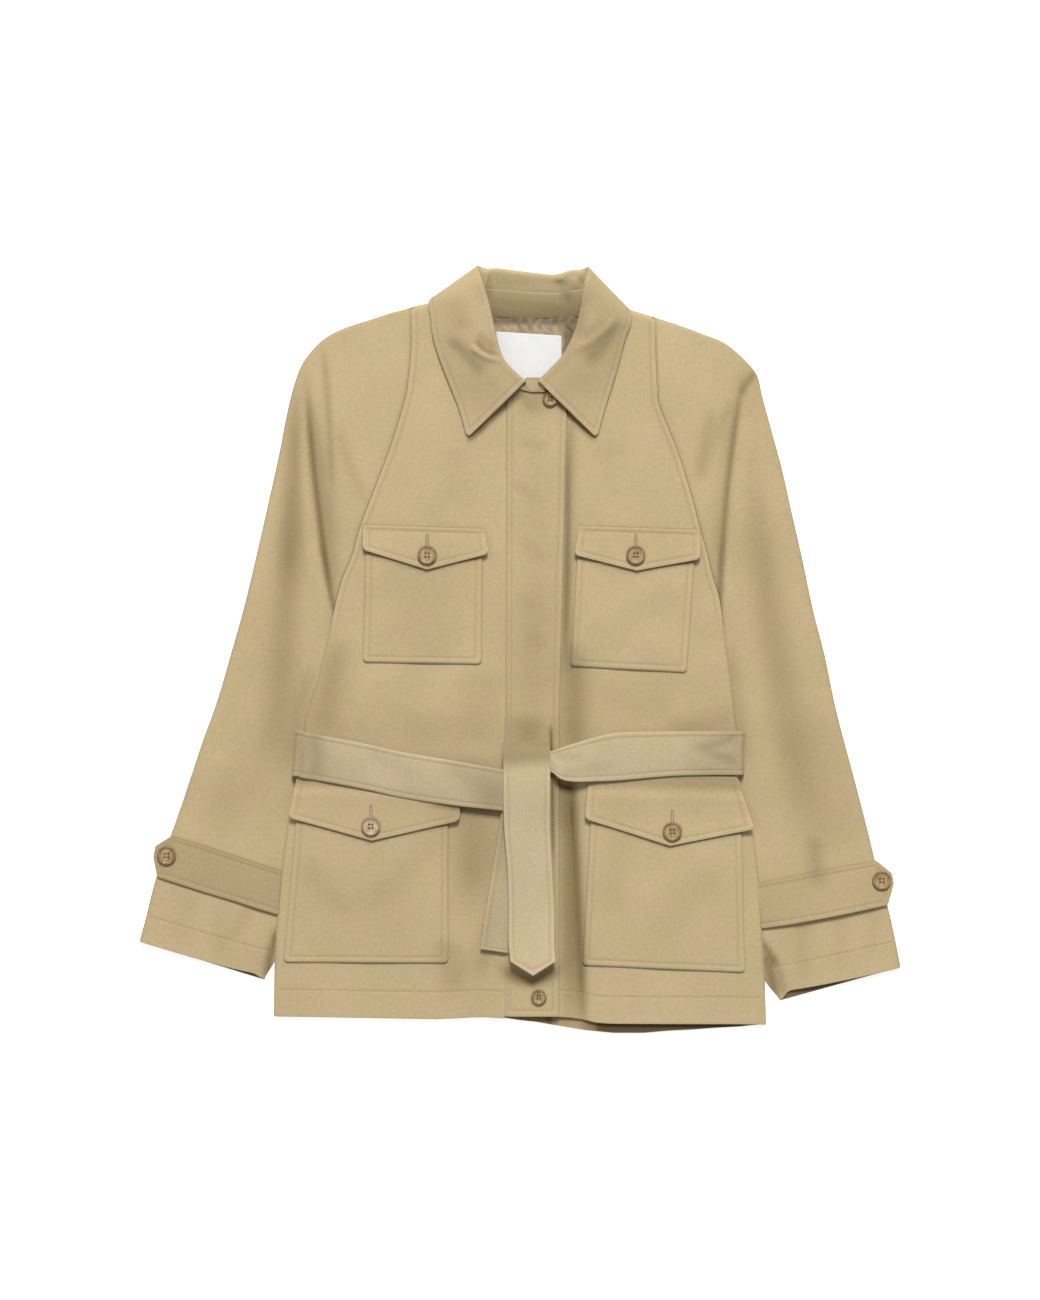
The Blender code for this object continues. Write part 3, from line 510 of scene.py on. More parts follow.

# Creases on curved lines, deepest at the middle of each. A step is a lapped crease, higher on the side
# to the left of its run. Shade is painted shade: how much darker the cloth is painted down in the crease.
# start_x, start_y, mid_x, mid_y, end_x, end_y, half_width at start and end, height, step, shade
SLEEVE_CREASES = (
    (-206, 275, -194.5, 145, -175, 18, 3.4, 3.6, -1.6, -1.2, 0.86),
    (-203, 262, -189, 140, -175, 24, 7, 7, -0.6, 0.0, 0.22),
    (-193, 118, -184.5, 68, -175.5, 24, 2.2, 2.4, -0.5, -0.8, 0.66),
    (-190, 220, -184, 130, -172, 40, 8, 8, 0.0, 0.0, 0.14),
    (-178, 226, -164, 176, -143, 128, 5, 7, -0.9, 0.0, 0.16),
    (-214, 266, -219, 155, -224, 30, 6, 12, -1.8, 0.0, 0.42),
    (-219, 170, -226, 20, -240, -150, 10, 22, -1.6, 0.0, 0.40),
    (-208, 235, -206, 130, -196, 40, 6, 8, 2.2, 0.0, 0.0),
    (-190, 297, -184, 230, -179, 125, 3, 5, -1.0, 0.8, 0.30),
    (-178, 240, -174, 160, -166, 90, 9, 9, 1.6, 0.0, 0.0),
    (-240, 170, -255, 50, -280, -60, 12, 12, 1.8, 0.0, 0.0),
    (-330, -120, -290, -150, -240, -120, 16, 18, -1.0, 0.0, 0.06),
    (-282, -95, -296, -130, -312, -172, 11, 11, 1.4, 0.0, 0.0),
    (-196, -10, -212, -60, -226, -130, 8, 9, -0.6, 0.0, 0.24),
    (-238, -50, -268, -125, -286, -205, 34, 30, 0.0, 0.0, 0.11),
    (-250, -262, -249, -292, -252, -322, 5, 5, 1.0, 0.0, 0.0),
    (-231, -262, -239, -290, -245, -328, 3.5, 5, -1.2, 0.0, 0.82),
    (-258, -248, -268, -264, -282, -288, 7, 7, -0.8, 0.0, 0.15),
    (-280, -240, -288, -272, -282, -312, 9, 9, -0.9, 0.0, 0.10),
    (-316, -232, -322, -262, -327, -298, 10, 10, -0.8, 0.0, 0.07),
    (218, 276, 199, 155, 190, 0, 3.0, 3.6, -1.6, 1.2, 0.66),
    (196, 120, 192.5, 72, 191.5, 30, 2.8, 2.8, -0.6, 0.0, 0.42),
    (192, 135, 187.5, 92, 187, 46, 6, 5, 0.0, 0.0, 0.18),
    (210, 250, 193, 165, 186, 60, 8, 9, -0.4, 0.0, 0.10),
    (186, 232, 178, 200, 172, 150, 6, 7, -0.8, 0.0, 0.20),
    (212, 248, 186, 198, 166, 146, 5, 8, -0.9, 0.0, 0.15),
    (229, 268, 219, 257, 209, 240, 4, 4, -1.2, 1.0, 0.62),
    (218, 226, 212, 160, 205, 60, 8, 9, 1.8, 0.0, 0.0),
    (222, 200, 246, -10, 288, -212, 10, 22, -2.4, 0.0, 0.32),
    (254, 130, 270, 0, 294, -95, 12, 12, 1.8, 0.0, 0.0),
    (270, -40, 288, -125, 306, -215, 34, 30, 0.0, 0.0, 0.12),
    (234, 120, 240, 40, 252, -40, 30, 34, 0.0, 0.0, 0.07),
    (280, -176, 284, -204, 286, -236, 9, 9, -1.0, 0.0, 0.30),
    (200, 20, 208, -50, 224, -130, 7, 9, -0.5, 0.0, 0.24),
    (230, -276, 240, -292, 250, -307, 3.0, 3.2, -1.3, 0.9, 0.75),
    (234, -284, 241, -312, 247, -342, 7, 6, -1.0, 0.0, 0.76),
    (248, -302, 252, -317, 254, -336, 2.6, 2.6, -0.4, 0.6, 0.30),
    (276, -256, 270, -288, 276, -332, 7, 8, -1.0, 0.0, 0.12),
    (304, -250, 309, -282, 300, -322, 8, 9, -1.0, 0.0, 0.10),
    (334, -244, 339, -274, 330, -314, 8, 9, -0.9, 0.0, 0.08),
)
# Rows with no height and no step only paint shade: broad darker zones, the shadows under the collar's
# fronts, under the belt's lower edge and under the point of the belt end, and dark slits at the knot
BODY_CREASES = (
    (47, 110, 47, 30, 48, -35, 3.5, 5, -1.4, 0.0, 0.42),
    (50, 262, 49, 160, 48, 50, 5, 5, -0.8, 0.0, 0.26),
    (52, 12, 52, -50, 48, -118, 13, 15, -2.4, 0.0, 0.52),
    (-170, 22, -184, -40, -199, -96, 13, 20, -1.6, 0.0, 0.34),
    (-30, -15, -36, -60, -41, -105, 20, 24, -1.2, 0.0, 0.16),
    (132, -78, 176, -75, 222, -62, 11, 17, -1.2, 0.0, 0.28),
    (-44, -90, -45, -168, -40, -270, 26, 22, -1.6, 0.0, 0.42),
    (-23, -206, -40, -262, -64, -320, 9, 9, 2.2, 0.0, 0.0),
    (-14, -236, -27, -282, -44, -326, 6, 8, -0.8, 0.0, 0.24),
    (-66, -276, -69, -305, -58, -342, 13, 13, -1.0, 0.0, 0.22),
    (47, -84, 54.2, -225, 63, -400, 4.4, 5.2, -2.0, 1.3, 0.88),
    (44, -95, 47, -220, 51, -395, 9, 11, -0.8, 0.0, 0.66),
    (31.2, -70, 31.2, -145, 32.2, -215, 2.0, 1.8, 0.0, 0.0, 0.90),
    (30, -122, 41, -131, 58, -131.5, 4.5, 3, 0.0, 0.0, 0.97),
    (46, 235, 45.2, 90, 41, -40, 2.8, 3.0, -0.8, 0.0, 0.72),
    (14, 85, 14, -10, 13, -100, 26, 24, 0.0, 0.0, 0.20),
    (13, 256.5, -20.5, 226.8, -53, 198.5, 2.6, 2.8, 0.0, 0.0, 0.86),
    (-30, 218, -41.5, 208, -52.5, 199, 2.4, 2.6, 0.0, 0.0, 0.80),
    (13.7, 259, 44.4, 229.4, 75, 199.8, 2.6, 2.8, 0.0, 0.0, 0.86),
    (54, 219, 64, 210, 75, 200, 2.4, 2.6, 0.0, 0.0, 0.80),
    (41, -108, 43, -142, 45, -190, 11, 9, -0.4, 0.0, 0.42),
    (72, -150, 70, -230, 75, -310, 8, 8, 1.4, 0.0, 0.0),
    (-62, -150, -105, -212, -165, -262, 13, 18, -1.4, 0.0, 0.15),
    (-216, -195, -188, -236, -145, -266, 13, 16, -1.2, 0.0, 0.12),
    (98, -170, 90, -215, 84, -265, 14, 14, -1.0, 0.0, 0.08),
    (194, -195, 160, -250, 115, -284, 20, 20, -1.0, 0.0, 0.07),
    (-56, 74, -95, 30, -124, -8, 18, 20, -1.0, 0.0, 0.08),
    (156, 64, 120, 30, 76, 6, 18, 18, -1.0, 0.0, 0.06),
    (-145, -16, -110, -50, -66, -78, 16, 16, 1.0, 0.0, 0.0),
    (76, -36, 110, -58, 154, -48, 14, 16, -0.9, 0.0, 0.08),
    (-66, 196, -60, 160, -62, 124, 12, 12, -1.0, 0.0, 0.05),
    (88, 204, 84, 165, 92, 124, 13, 13, -1.0, 0.0, 0.05),
    (-112, 256, -118, 215, -136, 168, 9, 9, -0.8, 0.0, 0.07),
    (134, 256, 142, 210, 162, 158, 9, 9, -0.8, 0.0, 0.07),
    (-250, -70, -110, -70, 30, -92, 34, 34, 0.0, 0.0, 0.15),
    (20, -60, 130, -56, 245, -52, 32, 32, 0.0, 0.0, 0.13),
    (-92, 110, -94, 40, -94, -30, 44, 44, 0.0, 0.0, 0.08),
    (-146, -150, -148, -235, -150, -330, 50, 50, 0.0, 0.0, 0.08),
    (14, 262, 14, 80, 12, -110, 17, 17, 0.0, 0.0, 0.09),
    (12, 268, 13, 246, 15, 218, 18, 14, 0.0, 0.0, 0.34),
    (-8, 246, 3, 239, 16, 224, 3, 4, -0.8, 0.0, 0.18),
    (-26, -296, 11, -317, 46, -296, 7, 6, 0.0, 0.0, 0.88),
    (-3, 203, 12, 194.5, 28, 199, 4, 5, -0.6, 0.0, 0.16),
    (-8, 160, 5, 151, 20, 142, 5, 6, -0.5, 0.0, 0.14),
    (-4, 104, 13, 93, 30, 78, 7, 8, -0.5, 0.0, 0.12),
    (-6, 50, 4, 44, 16, 34, 7, 8, -0.4, 0.0, 0.09),
    (2, 14, 14, 6, 30, 2, 7, 8, -0.4, 0.0, 0.08),
    (29.4, -68, 29.6, -92, 29.6, -122, 1.5, 1.7, -0.5, 0.0, 0.95),
    (10, -56, 8, -88, 7, -124, 19, 21, 0.0, 0.0, 0.45),
    (-100, -146, -52, -152.6, -10, -157.4, 2.6, 3.2, 0.0, 0.0, 0.6),
)

# The same for the belt across the front
BELT_CREASES = (
    (209, -80, 190, -92, 154, -95, 4, 5, -1.4, 0.0, 0.22),
    (212, -112, 192, -104, 166, -97, 4, 5, -1.3, 0.0, 0.22),
    (-199, -66, -195, -100, -199, -136, 7, 7, -1.5, 0.0, 0.28),
    (-212, -66, -209, -100, -213, -134, 4, 4, -0.8, 0.0, 0.25),
    (-76, -104, -46, -128, -8, -150, 10, 14, -1.0, 0.0, 0.20),
    (-150, -96, -120, -116, -84, -128, 10, 12, -0.8, 0.0, 0.08),
    (30, -98, 44, -104, 66, -103, 4, 6, -1.0, 0.0, 0.16),
    (36, -124, 60, -118, 100, -112, 5, 7, -0.8, 0.0, 0.10),
    (-206, -40, -204, -100, -206, -160, 30, 30, 0.0, 0.0, 0.25),
    (-24, -80, -24, -134, -24, -190, 24, 24, 0.0, 0.0, 0.30),
    (205, -40, 203, -99, 205, -160, 42, 42, 0.0, 0.0, 0.34),
)

# The same for the collar leaf: the creases of its two fronts, then those inside the back of the neck
LEAF_CREASES = (
    (-43, 297, -34.5, 287.2, -17, 280.5, 2.0, 2.2, -1.6, 0.0, 0.58),
    (-43, 300, -33, 293, -20, 285, 5.0, 4.5, -1.2, 0.0, 0.30),
    (-46, 292, -37, 282.4, -16, 275, 2.8, 3.0, 2.4, 0.0, 0.0),
    (-76, 302, -51, 280, -33, 258, 6, 8, -1.4, 0.0, 0.42),
    (-76, 340, -62, 318, -52, 298, 14, 10, -0.8, 0.0, 0.18),
    (99, 320, 81, 291, 58, 268, 5, 10, -1.4, 0.0, 0.42),
    (92, 318, 73, 300, 48, 283, 4.5, 4.5, 2.2, 0.0, 0.0),
    (86, 317, 74, 306, 54, 296, 4, 6, -0.8, 0.0, 0.28),
    (61, 340, 57, 318, 53, 294, 5, 6, -0.8, 0.0, 0.28),
)
NECK_CREASES = (
    (32, 366, 39, 350, 56, 328, 4.5, 6, -1.6, 0.0, 0.46),
    (51, 362, 53, 348, 58, 334, 4, 4, 1.6, 0.0, 0.0),
    (60, 368, 60, 358, 59, 346, 3.5, 4, -0.6, 0.0, 0.36),
    (-35, 370, -32, 354, -30, 334, 4, 5, -0.8, 0.0, 0.42),
    (-28, 352, -8, 345, 16, 350, 6, 6, -1.2, 0.0, 0.14),
    (-36, 337, 4, 333, 60, 327, 4, 5, 0.0, 0.0, 0.22),
)

# An edge of a sheet: each point's distance from it, its stitch line's distance or 0, how far it rolls down,
# 0 if it lies along a row or 1 if the rows end at it, its strength, and how far in the roll reaches
Edge = namedtuple("Edge", "away stitch drop axis weight reach", defaults=(0, 1.0, 1.3))


def smooth(share):
    share = np.clip(share, 0.0, 1.0)
    return share * share * (3.0 - 2.0 * share)


def bell(away, half_width):
    return np.exp(-((away / half_width) ** 2))


def quarter_round(share):
    """Height of a quarter round: 0 at its foot, 1 where it has levelled out."""
    return np.sqrt(1.0 - (1.0 - np.clip(share, 0.0, 1.0)) ** 2)


def xyz(x, y, z):
    """Points from their three parts, each a sheet, a row, a column or one value."""
    return np.stack(np.broadcast_arrays(x, y, z), axis=-1)


def travelled(points, axis):
    """Distance of each point from the first one, along its row (axis 1) or from row to row (axis 0)."""
    steps = np.diff(points, axis=axis, prepend=points[:, :1] if axis else points[:1])
    return np.linalg.norm(steps, axis=-1).cumsum(axis=axis)


def between(table, places):
    """Rows of a table at places between its rows, on smooth lines through them."""
    rows = np.asarray(table, float)
    places = np.asarray(places, float)
    last = len(rows) - 1
    first = np.clip(places.astype(int), 0, last - 1)
    share = (places - first)[..., None]
    before = rows[np.maximum(first - 1, 0)]
    start = rows[first]
    end = rows[first + 1]
    after = rows[np.minimum(first + 2, last)]
    cubic = 3 * (start - end) + after - before
    square = 2 * before - 5 * start + 4 * end - after
    return start + 0.5 * share * (end - before + share * (square + share * cubic))


def in_columns(table, places):
    """The columns of a table at places between its rows, each upright."""
    return [column[:, None] for column in between(table, places).T]


def at_height(table, places):
    """The second column of a table read at places in its first column."""
    rows = np.asarray(table, float)
    return np.interp(places, rows[:, 0], rows[:, 1])


def line_length(line):
    """Distance of each point of a flat line from its start."""
    return np.concatenate([[0.0], np.cumsum(np.hypot(*np.diff(line, axis=0).T))])


def place_at(table, columns, distances):
    """Places in a table at distances from its first row, measured along a line through two columns."""
    places = np.linspace(0.0, len(table) - 1.0, 40 * len(table))
    reach = line_length(between(table, places)[:, columns])
    return np.interp(distances, reach, places), reach[-1]


def run(length, start, end, step):
    """Distances over a length: the given ones near its two ends and even steps between."""
    length = np.asarray(length, float)[..., None]
    start = np.asarray(start, float)
    end = np.asarray(end, float)[..., ::-1]
    room = length - start[..., -1:] - end[..., :1]
    count = max(int(round(room.max() / step)), 1)
    shares = np.linspace(0.0, 1.0, count + 1)[1:-1]
    parts = [start + 0.0 * length, start[..., -1:] + room * shares, length - end]
    return np.concatenate(parts, axis=-1)


def by_edge(stitch, near=EDGE_POINTS, past=PAST_GROOVE):
    """Distances from a turned edge where it needs points: its round, its puff and its stitch line."""
    return near + tuple(stitch + step for step in GROOVE_STEPS + (past,))


def sewn_run(width, stitch, step):
    """Distances across a piece that is turned and stitched along both edges."""
    return run(width, by_edge(stitch), by_edge(stitch), step)


def both_edges(away, width, *rest):
    """Two opposite edges, by the distance from the first."""
    return Edge(away, *rest), Edge(width - away, *rest)


def crease_shape(creases, x, y):
    """Height and painted shade that a table of curved creases gives at points."""
    height = np.zeros(np.shape(x))
    shade = np.zeros(np.shape(x))
    share = np.linspace(0.0, 1.0, 25)[:, None]
    for row in creases:
        start, mid, end = np.array(row[:6], float).reshape(3, 2)
        start_half, end_half, rise, step, tone = row[6:]
        middle = 2 * mid - 0.5 * (start + end)
        line = (1 - share) ** 2 * start + 2 * share * (1 - share) * middle + share**2 * end
        reach = 3 * max(start_half, end_half) + 10
        near = (x > line[:, 0].min() - reach) & (x < line[:, 0].max() + reach)
        near &= (y > line[:, 1].min() - reach) & (y < line[:, 1].max() + reach)
        if not near.any():
            continue
        point = np.stack([x[near], y[near]], axis=-1)
        best = np.full(len(point), 1e9)
        side = np.zeros(len(point))
        along = np.zeros(len(point))
        for number in range(len(line) - 1):
            run_xy = line[number + 1] - line[number]
            length = np.hypot(*run_xy)
            offset = point - line[number]
            part = np.clip(offset @ run_xy / length**2, 0.0, 1.0)
            gap = np.hypot(*(offset - part[:, None] * run_xy).T)
            closer = gap < best
            best[closer] = gap[closer]
            side[closer] = ((run_xy[0] * offset[:, 1] - run_xy[1] * offset[:, 0]) / length)[closer]
            along[closer] = ((number + part) / (len(line) - 1))[closer]
        fade = smooth(along / CREASE_FADE) * smooth((1.0 - along) / CREASE_FADE)
        half = start_half + (end_half - start_half) * along
        trough = bell(best, half) * fade
        lapped = np.tanh(side / CREASE_STEP) * np.exp(-best / (2.0 * half)) * fade
        height[near] += rise * trough + step * lapped
        # Painted shade along the crease's trough, joined with that of the other creases
        shade[near] = 1.0 - (1.0 - shade[near]) * (1.0 - tone * trough)
    return height, shade


def fold_height(x, y):
    total = np.zeros(np.shape(x))
    for start_x, start_y, end_x, end_y, half_width, height in FOLDS:
        run_x = end_x - start_x
        run_y = end_y - start_y
        length = math.hypot(run_x, run_y)
        along = ((x - start_x) * run_x + (y - start_y) * run_y) / length**2
        across = np.abs((x - start_x) * run_y - (y - start_y) * run_x) / length
        fade_in = smooth((along + FOLD_TAPER) / (2 * FOLD_TAPER))
        fade_out = smooth((1.0 - along + FOLD_TAPER) / (2 * FOLD_TAPER))
        total += height * fade_in * fade_out * bell(across, half_width)
    return total


def slack(x, y):
    """The uneven lie of pressed cloth: long shallow waves in several directions."""
    wave = np.sin(x / 23.0 + 0.6 * np.sin(y / 61.0)) * np.sin(y / 71.0 + 0.8)
    wave += 0.7 * np.sin((x + 0.55 * y) / 31.0 + 1.1) * np.sin((y - 0.3 * x) / 53.0)
    wave += 0.4 * np.sin((x - 0.8 * y) / 17.0 + 0.4) * np.sin((x + y) / 67.0 + 2.0)
    return SLACK * wave


def belt_lift(y):
    return BELT_LIFT * smooth((BELT_LIFT_END - np.abs(y - BELT_BACK_Y)) / (BELT_LIFT_END - BELT_LIFT_FLAT))


def neck_raise(x, y):
    distance = np.hypot(x - NECK_CENTRE[0], y - NECK_CENTRE[1])
    return NECK_RAISE * bell(distance, NECK_REACH)


def cloth_level(creases, x, y):
    x, y = np.broadcast_arrays(np.asarray(x, float), np.asarray(y, float))
    relief = fold_height(x, y) + crease_shape(creases, x, y)[0]
    return FRONT_TOP + neck_raise(x, y) + np.maximum(relief, -FOLD_LIMIT) + slack(x, y)


def sleeve_level(x, y):
    return cloth_level(SLEEVE_CREASES, x, y)


def body_level(x, y):
    return cloth_level(BODY_CREASES, x, y) + belt_lift(y)


def underarm_share(y):
    """How far the side is rolled down to the seam under the arm: 0 on the raglan seam, 1 below."""
    return smooth((ARMPIT_Y + 5.0 - y) / ARMPIT_CLOSE)


def placket_level(x, y):
    return body_level(x, y) + (TRIM + LAID) * smooth((x - PLACKET_RISE_X) / PLACKET_RISE)


def flap_level(name, x, y):
    top_right, top_left, low_left, low_right, point = FLAPS[name]
    run_x = top_left[0] - top_right[0]
    run_y = top_left[1] - top_right[1]
    fall = ((x - top_right[0]) * run_y - (y - top_right[1]) * run_x) / math.hypot(run_x, run_y)
    depth = top_right[1] - point[1]
    over_pocket = (FLAP_TOP - FLAP_SEAM) * smooth(fall / FLAP_STEP)
    return body_level(x, y) + FLAP_SEAM + over_pocket + FLAP_LIFT * np.maximum(fall / depth, 0.0) ** 2


def tab_level(x, y):
    return sleeve_level(x, y) + LAID + TRIM


def facing(points):
    """Outward directions of a sheet of points."""
    across = np.gradient(points, axis=1)
    up = np.gradient(points, axis=0)
    normal = np.cross(across, up)
    return normal / np.maximum(np.linalg.norm(normal, axis=-1, keepdims=True), 1e-9)


def turned(edges, shape):
    """Height, stitch groove and wear that turned and stitched edges give a sheet."""
    height, fall, groove, wear = np.zeros((4,) + shape)
    for edge in edges:
        within = edge.weight * np.ones(shape)
        for other in edges:
            if other is not edge and other.stitch:
                within = within * smooth((other.away - other.stitch + 1.0) / 0.8)
        fall = np.maximum(fall, edge.drop * edge.weight * (1.0 - quarter_round(edge.away / edge.reach)))
        wear = np.maximum(wear, edge.weight * bell(edge.away, WEAR_REACH))
        if edge.stitch:
            narrow = min(edge.stitch, PUFF_WIDTH)
            puff = SEAM_PUFF if edge.stitch < HEM_STITCH else HEM_PUFF
            height += puff * edge.weight * bell(edge.away - 0.45 * narrow, 0.32 * narrow)
            groove = np.maximum(groove, within * bell(edge.away - edge.stitch, GROOVE_HALF))
    return height - fall - GROOVE_DEPTH * groove, groove, wear


def stitch_line(points, edge, edges):
    """The line across a sheet at an edge's stitch distance, between the other edges' stitch lines."""
    clear = np.full(points.shape[:2], 9.0)
    for other in edges:
        if other is not edge and other.stitch:
            clear = np.minimum(clear, other.away - other.stitch)
    clear = np.minimum(clear, 20.0 * (edge.weight * np.ones(points.shape[:2]) - 0.5))
    away = edge.away
    if edge.axis == 0:
        points, away, clear = points.swapaxes(0, 1), away.T, clear.T
    if away[len(away) // 2, 0] > away[len(away) // 2, -1]:
        points, away, clear = points[:, ::-1], away[:, ::-1], clear[:, ::-1]
    past = away >= edge.stitch
    first = past.argmax(axis=1)
    rows = np.flatnonzero(past.any(axis=1) & (first > 0))
    first = first[rows]
    before = away[rows, first - 1]
    share = (edge.stitch - before) / (away[rows, first] - before)
    line = points[rows, first - 1] * (1 - share)[:, None] + points[rows, first] * share[:, None]
    kept = clear[rows, first] > -0.7
    return line[kept]


pieces = {}
stitch_lines = []


def add(name, data):
    """A new object in the scene."""
    made = bpy.data.objects.new(name, data)
    bpy.context.scene.collection.objects.link(made)
    return made


def applied(piece, modifier):
    """The mesh that a modifier makes of a piece. The modifier is removed."""
    graph = bpy.context.evaluated_depsgraph_get()
    made = bpy.data.meshes.new_from_object(piece.evaluated_get(graph))
    piece.modifiers.remove(modifier)
    return made


def store(mesh, attribute, values):
    mesh.attributes.new(attribute, "FLOAT", "POINT").data.foreach_set("value", values.ravel())


def mirrored(edges):
    """The edges of a sheet whose rows are turned round."""
    for edge in edges:
        weight = np.broadcast_to(edge.weight, edge.away.shape)
        yield edge._replace(away=edge.away[:, ::-1], weight=weight[:, ::-1])


def sheet(
    name, points, wall, finish, edges=(),
    relief=0.0, grain=None, creases=BODY_CREASES, shade=0.0, flip=False,
):
    """A sheet of cloth through rows of points on its outer face, with its wall inwards.

    Points run to +X along a row and rows run to +Y where the outer face looks up, after a flip that turns
    each row round. The warp lies at an angle of grain degrees from +Y, or along the rows' own direction
    where that is None.
    """
    if flip:
        points = points[:, ::-1]
        edges = tuple(mirrored(edges))
        shade = np.broadcast_to(shade, points.shape[:2])[:, ::-1]
    height, groove, wear = turned(edges, points.shape[:2])
    outward = facing(points)
    # Painted shade: the creases' shade where the sheet looks up, joined with the shade given for the piece;
    # it darkens the cloth's colour
    painted_shade = crease_shape(creases, points[..., 0], points[..., 1])[1] * (outward[..., 2] > 0.3)
    painted_shade = 1.0 - (1.0 - painted_shade) * (1.0 - shade)
    points = points + outward * (height + relief)[..., None]
    points[..., 2] = np.maximum(points[..., 2], FLOOR_GAP + wall * np.maximum(outward[..., 2], 0.0))
    stitch_lines.extend(stitch_line(points, edge, edges) for edge in edges if edge.stitch)
    rows, across = points.shape[:2]
    index = np.arange(rows * across).reshape(rows, across)
    corners = (index[:-1, :-1], index[:-1, 1:], index[1:, 1:], index[1:, :-1])
    faces = np.stack(corners, axis=-1).reshape(-1, 4)
    mesh = bpy.data.meshes.new(name)
    mesh.from_pydata((points.reshape(-1, 3) * MM).tolist(), [], faces.tolist())
    if grain is None:
        weft = travelled(points, 1)
        warp = travelled(points, 0).mean(axis=1, keepdims=True) + 0.0 * weft
    else:
        lean = math.radians(grain)
        x, y, z = np.moveaxis(points, -1, 0)
        weft = x * math.cos(lean) + y * math.sin(lean) + 0.8 * z
        warp = y * math.cos(lean) - x * math.sin(lean) + 40.0 * len(pieces)
    threads = np.stack([weft, warp], axis=-1) * MM
    cloth_map = mesh.uv_layers.new(name="cloth")
    cloth_map.data.foreach_set("uv", threads.reshape(-1, 2)[faces.ravel()].ravel())
    for attribute, values in (("groove", groove), ("wear", wear), ("painted_shade", painted_shade)):
        store(mesh, attribute, values)
    mesh.materials.append(finish)
    mesh.shade_smooth()
    pieces[name] = add(name + "_cloth", mesh)
    shell = pieces[name].modifiers.new("Wall", "SOLIDIFY")
    shell.thickness = wall * MM
    shell.offset = -1.0
    shell.use_quality_normals = True


class Wire:
    """A socket in a material's nodes, with sums on values."""

    def __init__(self, tree, socket=None):
        self.tree = tree
        self.socket = socket

    def node(self, kind, settings, sockets, output=0):
        made = self.tree.nodes.new(kind)
        for name, value in settings.items():
            if name == "stops":
                ramp = made.color_ramp.elements
                for number, (position, colour) in enumerate(value):
                    stop = ramp[number] if number < len(ramp) else ramp.new(position)
                    stop.position = position
                    stop.color = colour
            else:
                setattr(made, name, value)
        for name, value in sockets.items():
            if isinstance(value, Wire):
                self.tree.links.new(value.socket, made.inputs[name])
            else:
                made.inputs[name].default_value = value
        return Wire(self.tree, made.outputs[output])

    def math(self, operation, first, second=0.0):
        return self.node("ShaderNodeMath", {"operation": operation}, {0: first, 1: second})

    def __add__(self, other):
        return self.math("ADD", self, other)

    def __sub__(self, other):
        return self.math("SUBTRACT", self, other)

    def __rsub__(self, other):
        return self.math("SUBTRACT", other, self)

    def __mul__(self, other):
        return self.math("MULTIPLY", self, other)

    __radd__ = __add__
    __rmul__ = __mul__

    def scaled(self, factors):
        return self.node("ShaderNodeVectorMath", {"operation": "MULTIPLY"}, {0: self, 1: factors})

    def noise(self, factors, scale, detail):
        sockets = {"Vector": self.scaled(factors), "Scale": scale, "Detail": detail}
        return self.node("ShaderNodeTexNoise", {}, sockets)

    def mixed(self, share, other, blend="MIX"):
        settings = {"data_type": "RGBA", "blend_type": blend}
        return self.node("ShaderNodeMix", settings, {0: share, 6: self, 7: other}, 2)

    def tinted(self, share, colour):
        return self.mixed(share, colour + (1.0,), "MULTIPLY")

    def ramp(self, *stops):
        return self.node("ShaderNodeValToRGB", {"stops": stops}, {0: self})

    def attribute(self, name):
        return self.node("ShaderNodeAttribute", {"attribute_name": name}, {}, 2)

    def place(self):
        return self.node("ShaderNodeTexCoord", {}, {}, 3)

    def cloth(self):
        """The cloth's own map, and the places in it across and down the cloth."""
        grain = self.node("ShaderNodeUVMap", {"uv_map": "cloth"}, {})
        across = self.node("ShaderNodeSeparateXYZ", {}, {0: grain})
        return grain, across, Wire(self.tree, across.socket.node.outputs[1])

    def bump(self, strength, distance):
        sockets = {"Strength": strength, "Distance": distance, "Height": self}
        return self.node("ShaderNodeBump", {}, sockets)


def new_finish(name, sheen):
    finish = bpy.data.materials.new(name)
    finish.use_nodes = True
    shader = finish.node_tree.nodes["Principled BSDF"]
    shader.inputs["Sheen Weight"].default_value = sheen
    shader.inputs["Sheen Roughness"].default_value = 0.5
    shader.inputs["Specular IOR Level"].default_value = 0.25
    return finish, Wire(finish.node_tree)


def dressed(finish, tone, rough, bump=None):
    """A finish with its colour, roughness and relief joined to its shader."""
    tree = finish.node_tree
    for name, wire in (("Base Color", tone), ("Roughness", rough), ("Normal", bump)):
        if wire:
            tree.links.new(wire.socket, tree.nodes["Principled BSDF"].inputs[name])
    return finish


# Unevenness of the twill: stretch along the cloth map, scale, detail
TWILL_NOISE = {
    "slub": ((1.0, 0.09, 1.0), 800.0, 2.0),
    "weft_slub": ((0.12, 1.0, 1.0), 600.0, 1.0),
    "mottle": ((1.0, 0.6, 1.0), 16.0, 3.0),
    "speck": ((1.0, 0.7, 1.0), 1500.0, 1.0),
    "knots": ((1.0, 0.65, 1.0), 400.0, 1.0),
    "cloud": ((1.0, 1.0, 1.0), 9.0, 2.0),
    "dye": ((1.0, 0.8, 1.0), 24.0, 2.0),
}
TWILL_PITCH = 0.0012
GREENER_DYE = (0.95, 0.985, 0.905)
GROOVE_TINT = (0.58, 0.50, 0.36)
# Tints of painted shade: a warm darkening where creases, folds and parts over the cloth would shade it,
# then a deeper one past a threshold for the darkest shade
PAINTED_SHADE_TINT = (0.365, 0.315, 0.215)
PAINTED_DEEP_SHADE_TINT = (0.32, 0.31, 0.29)
PAINTED_DEEP_SHADE_FROM = 0.9


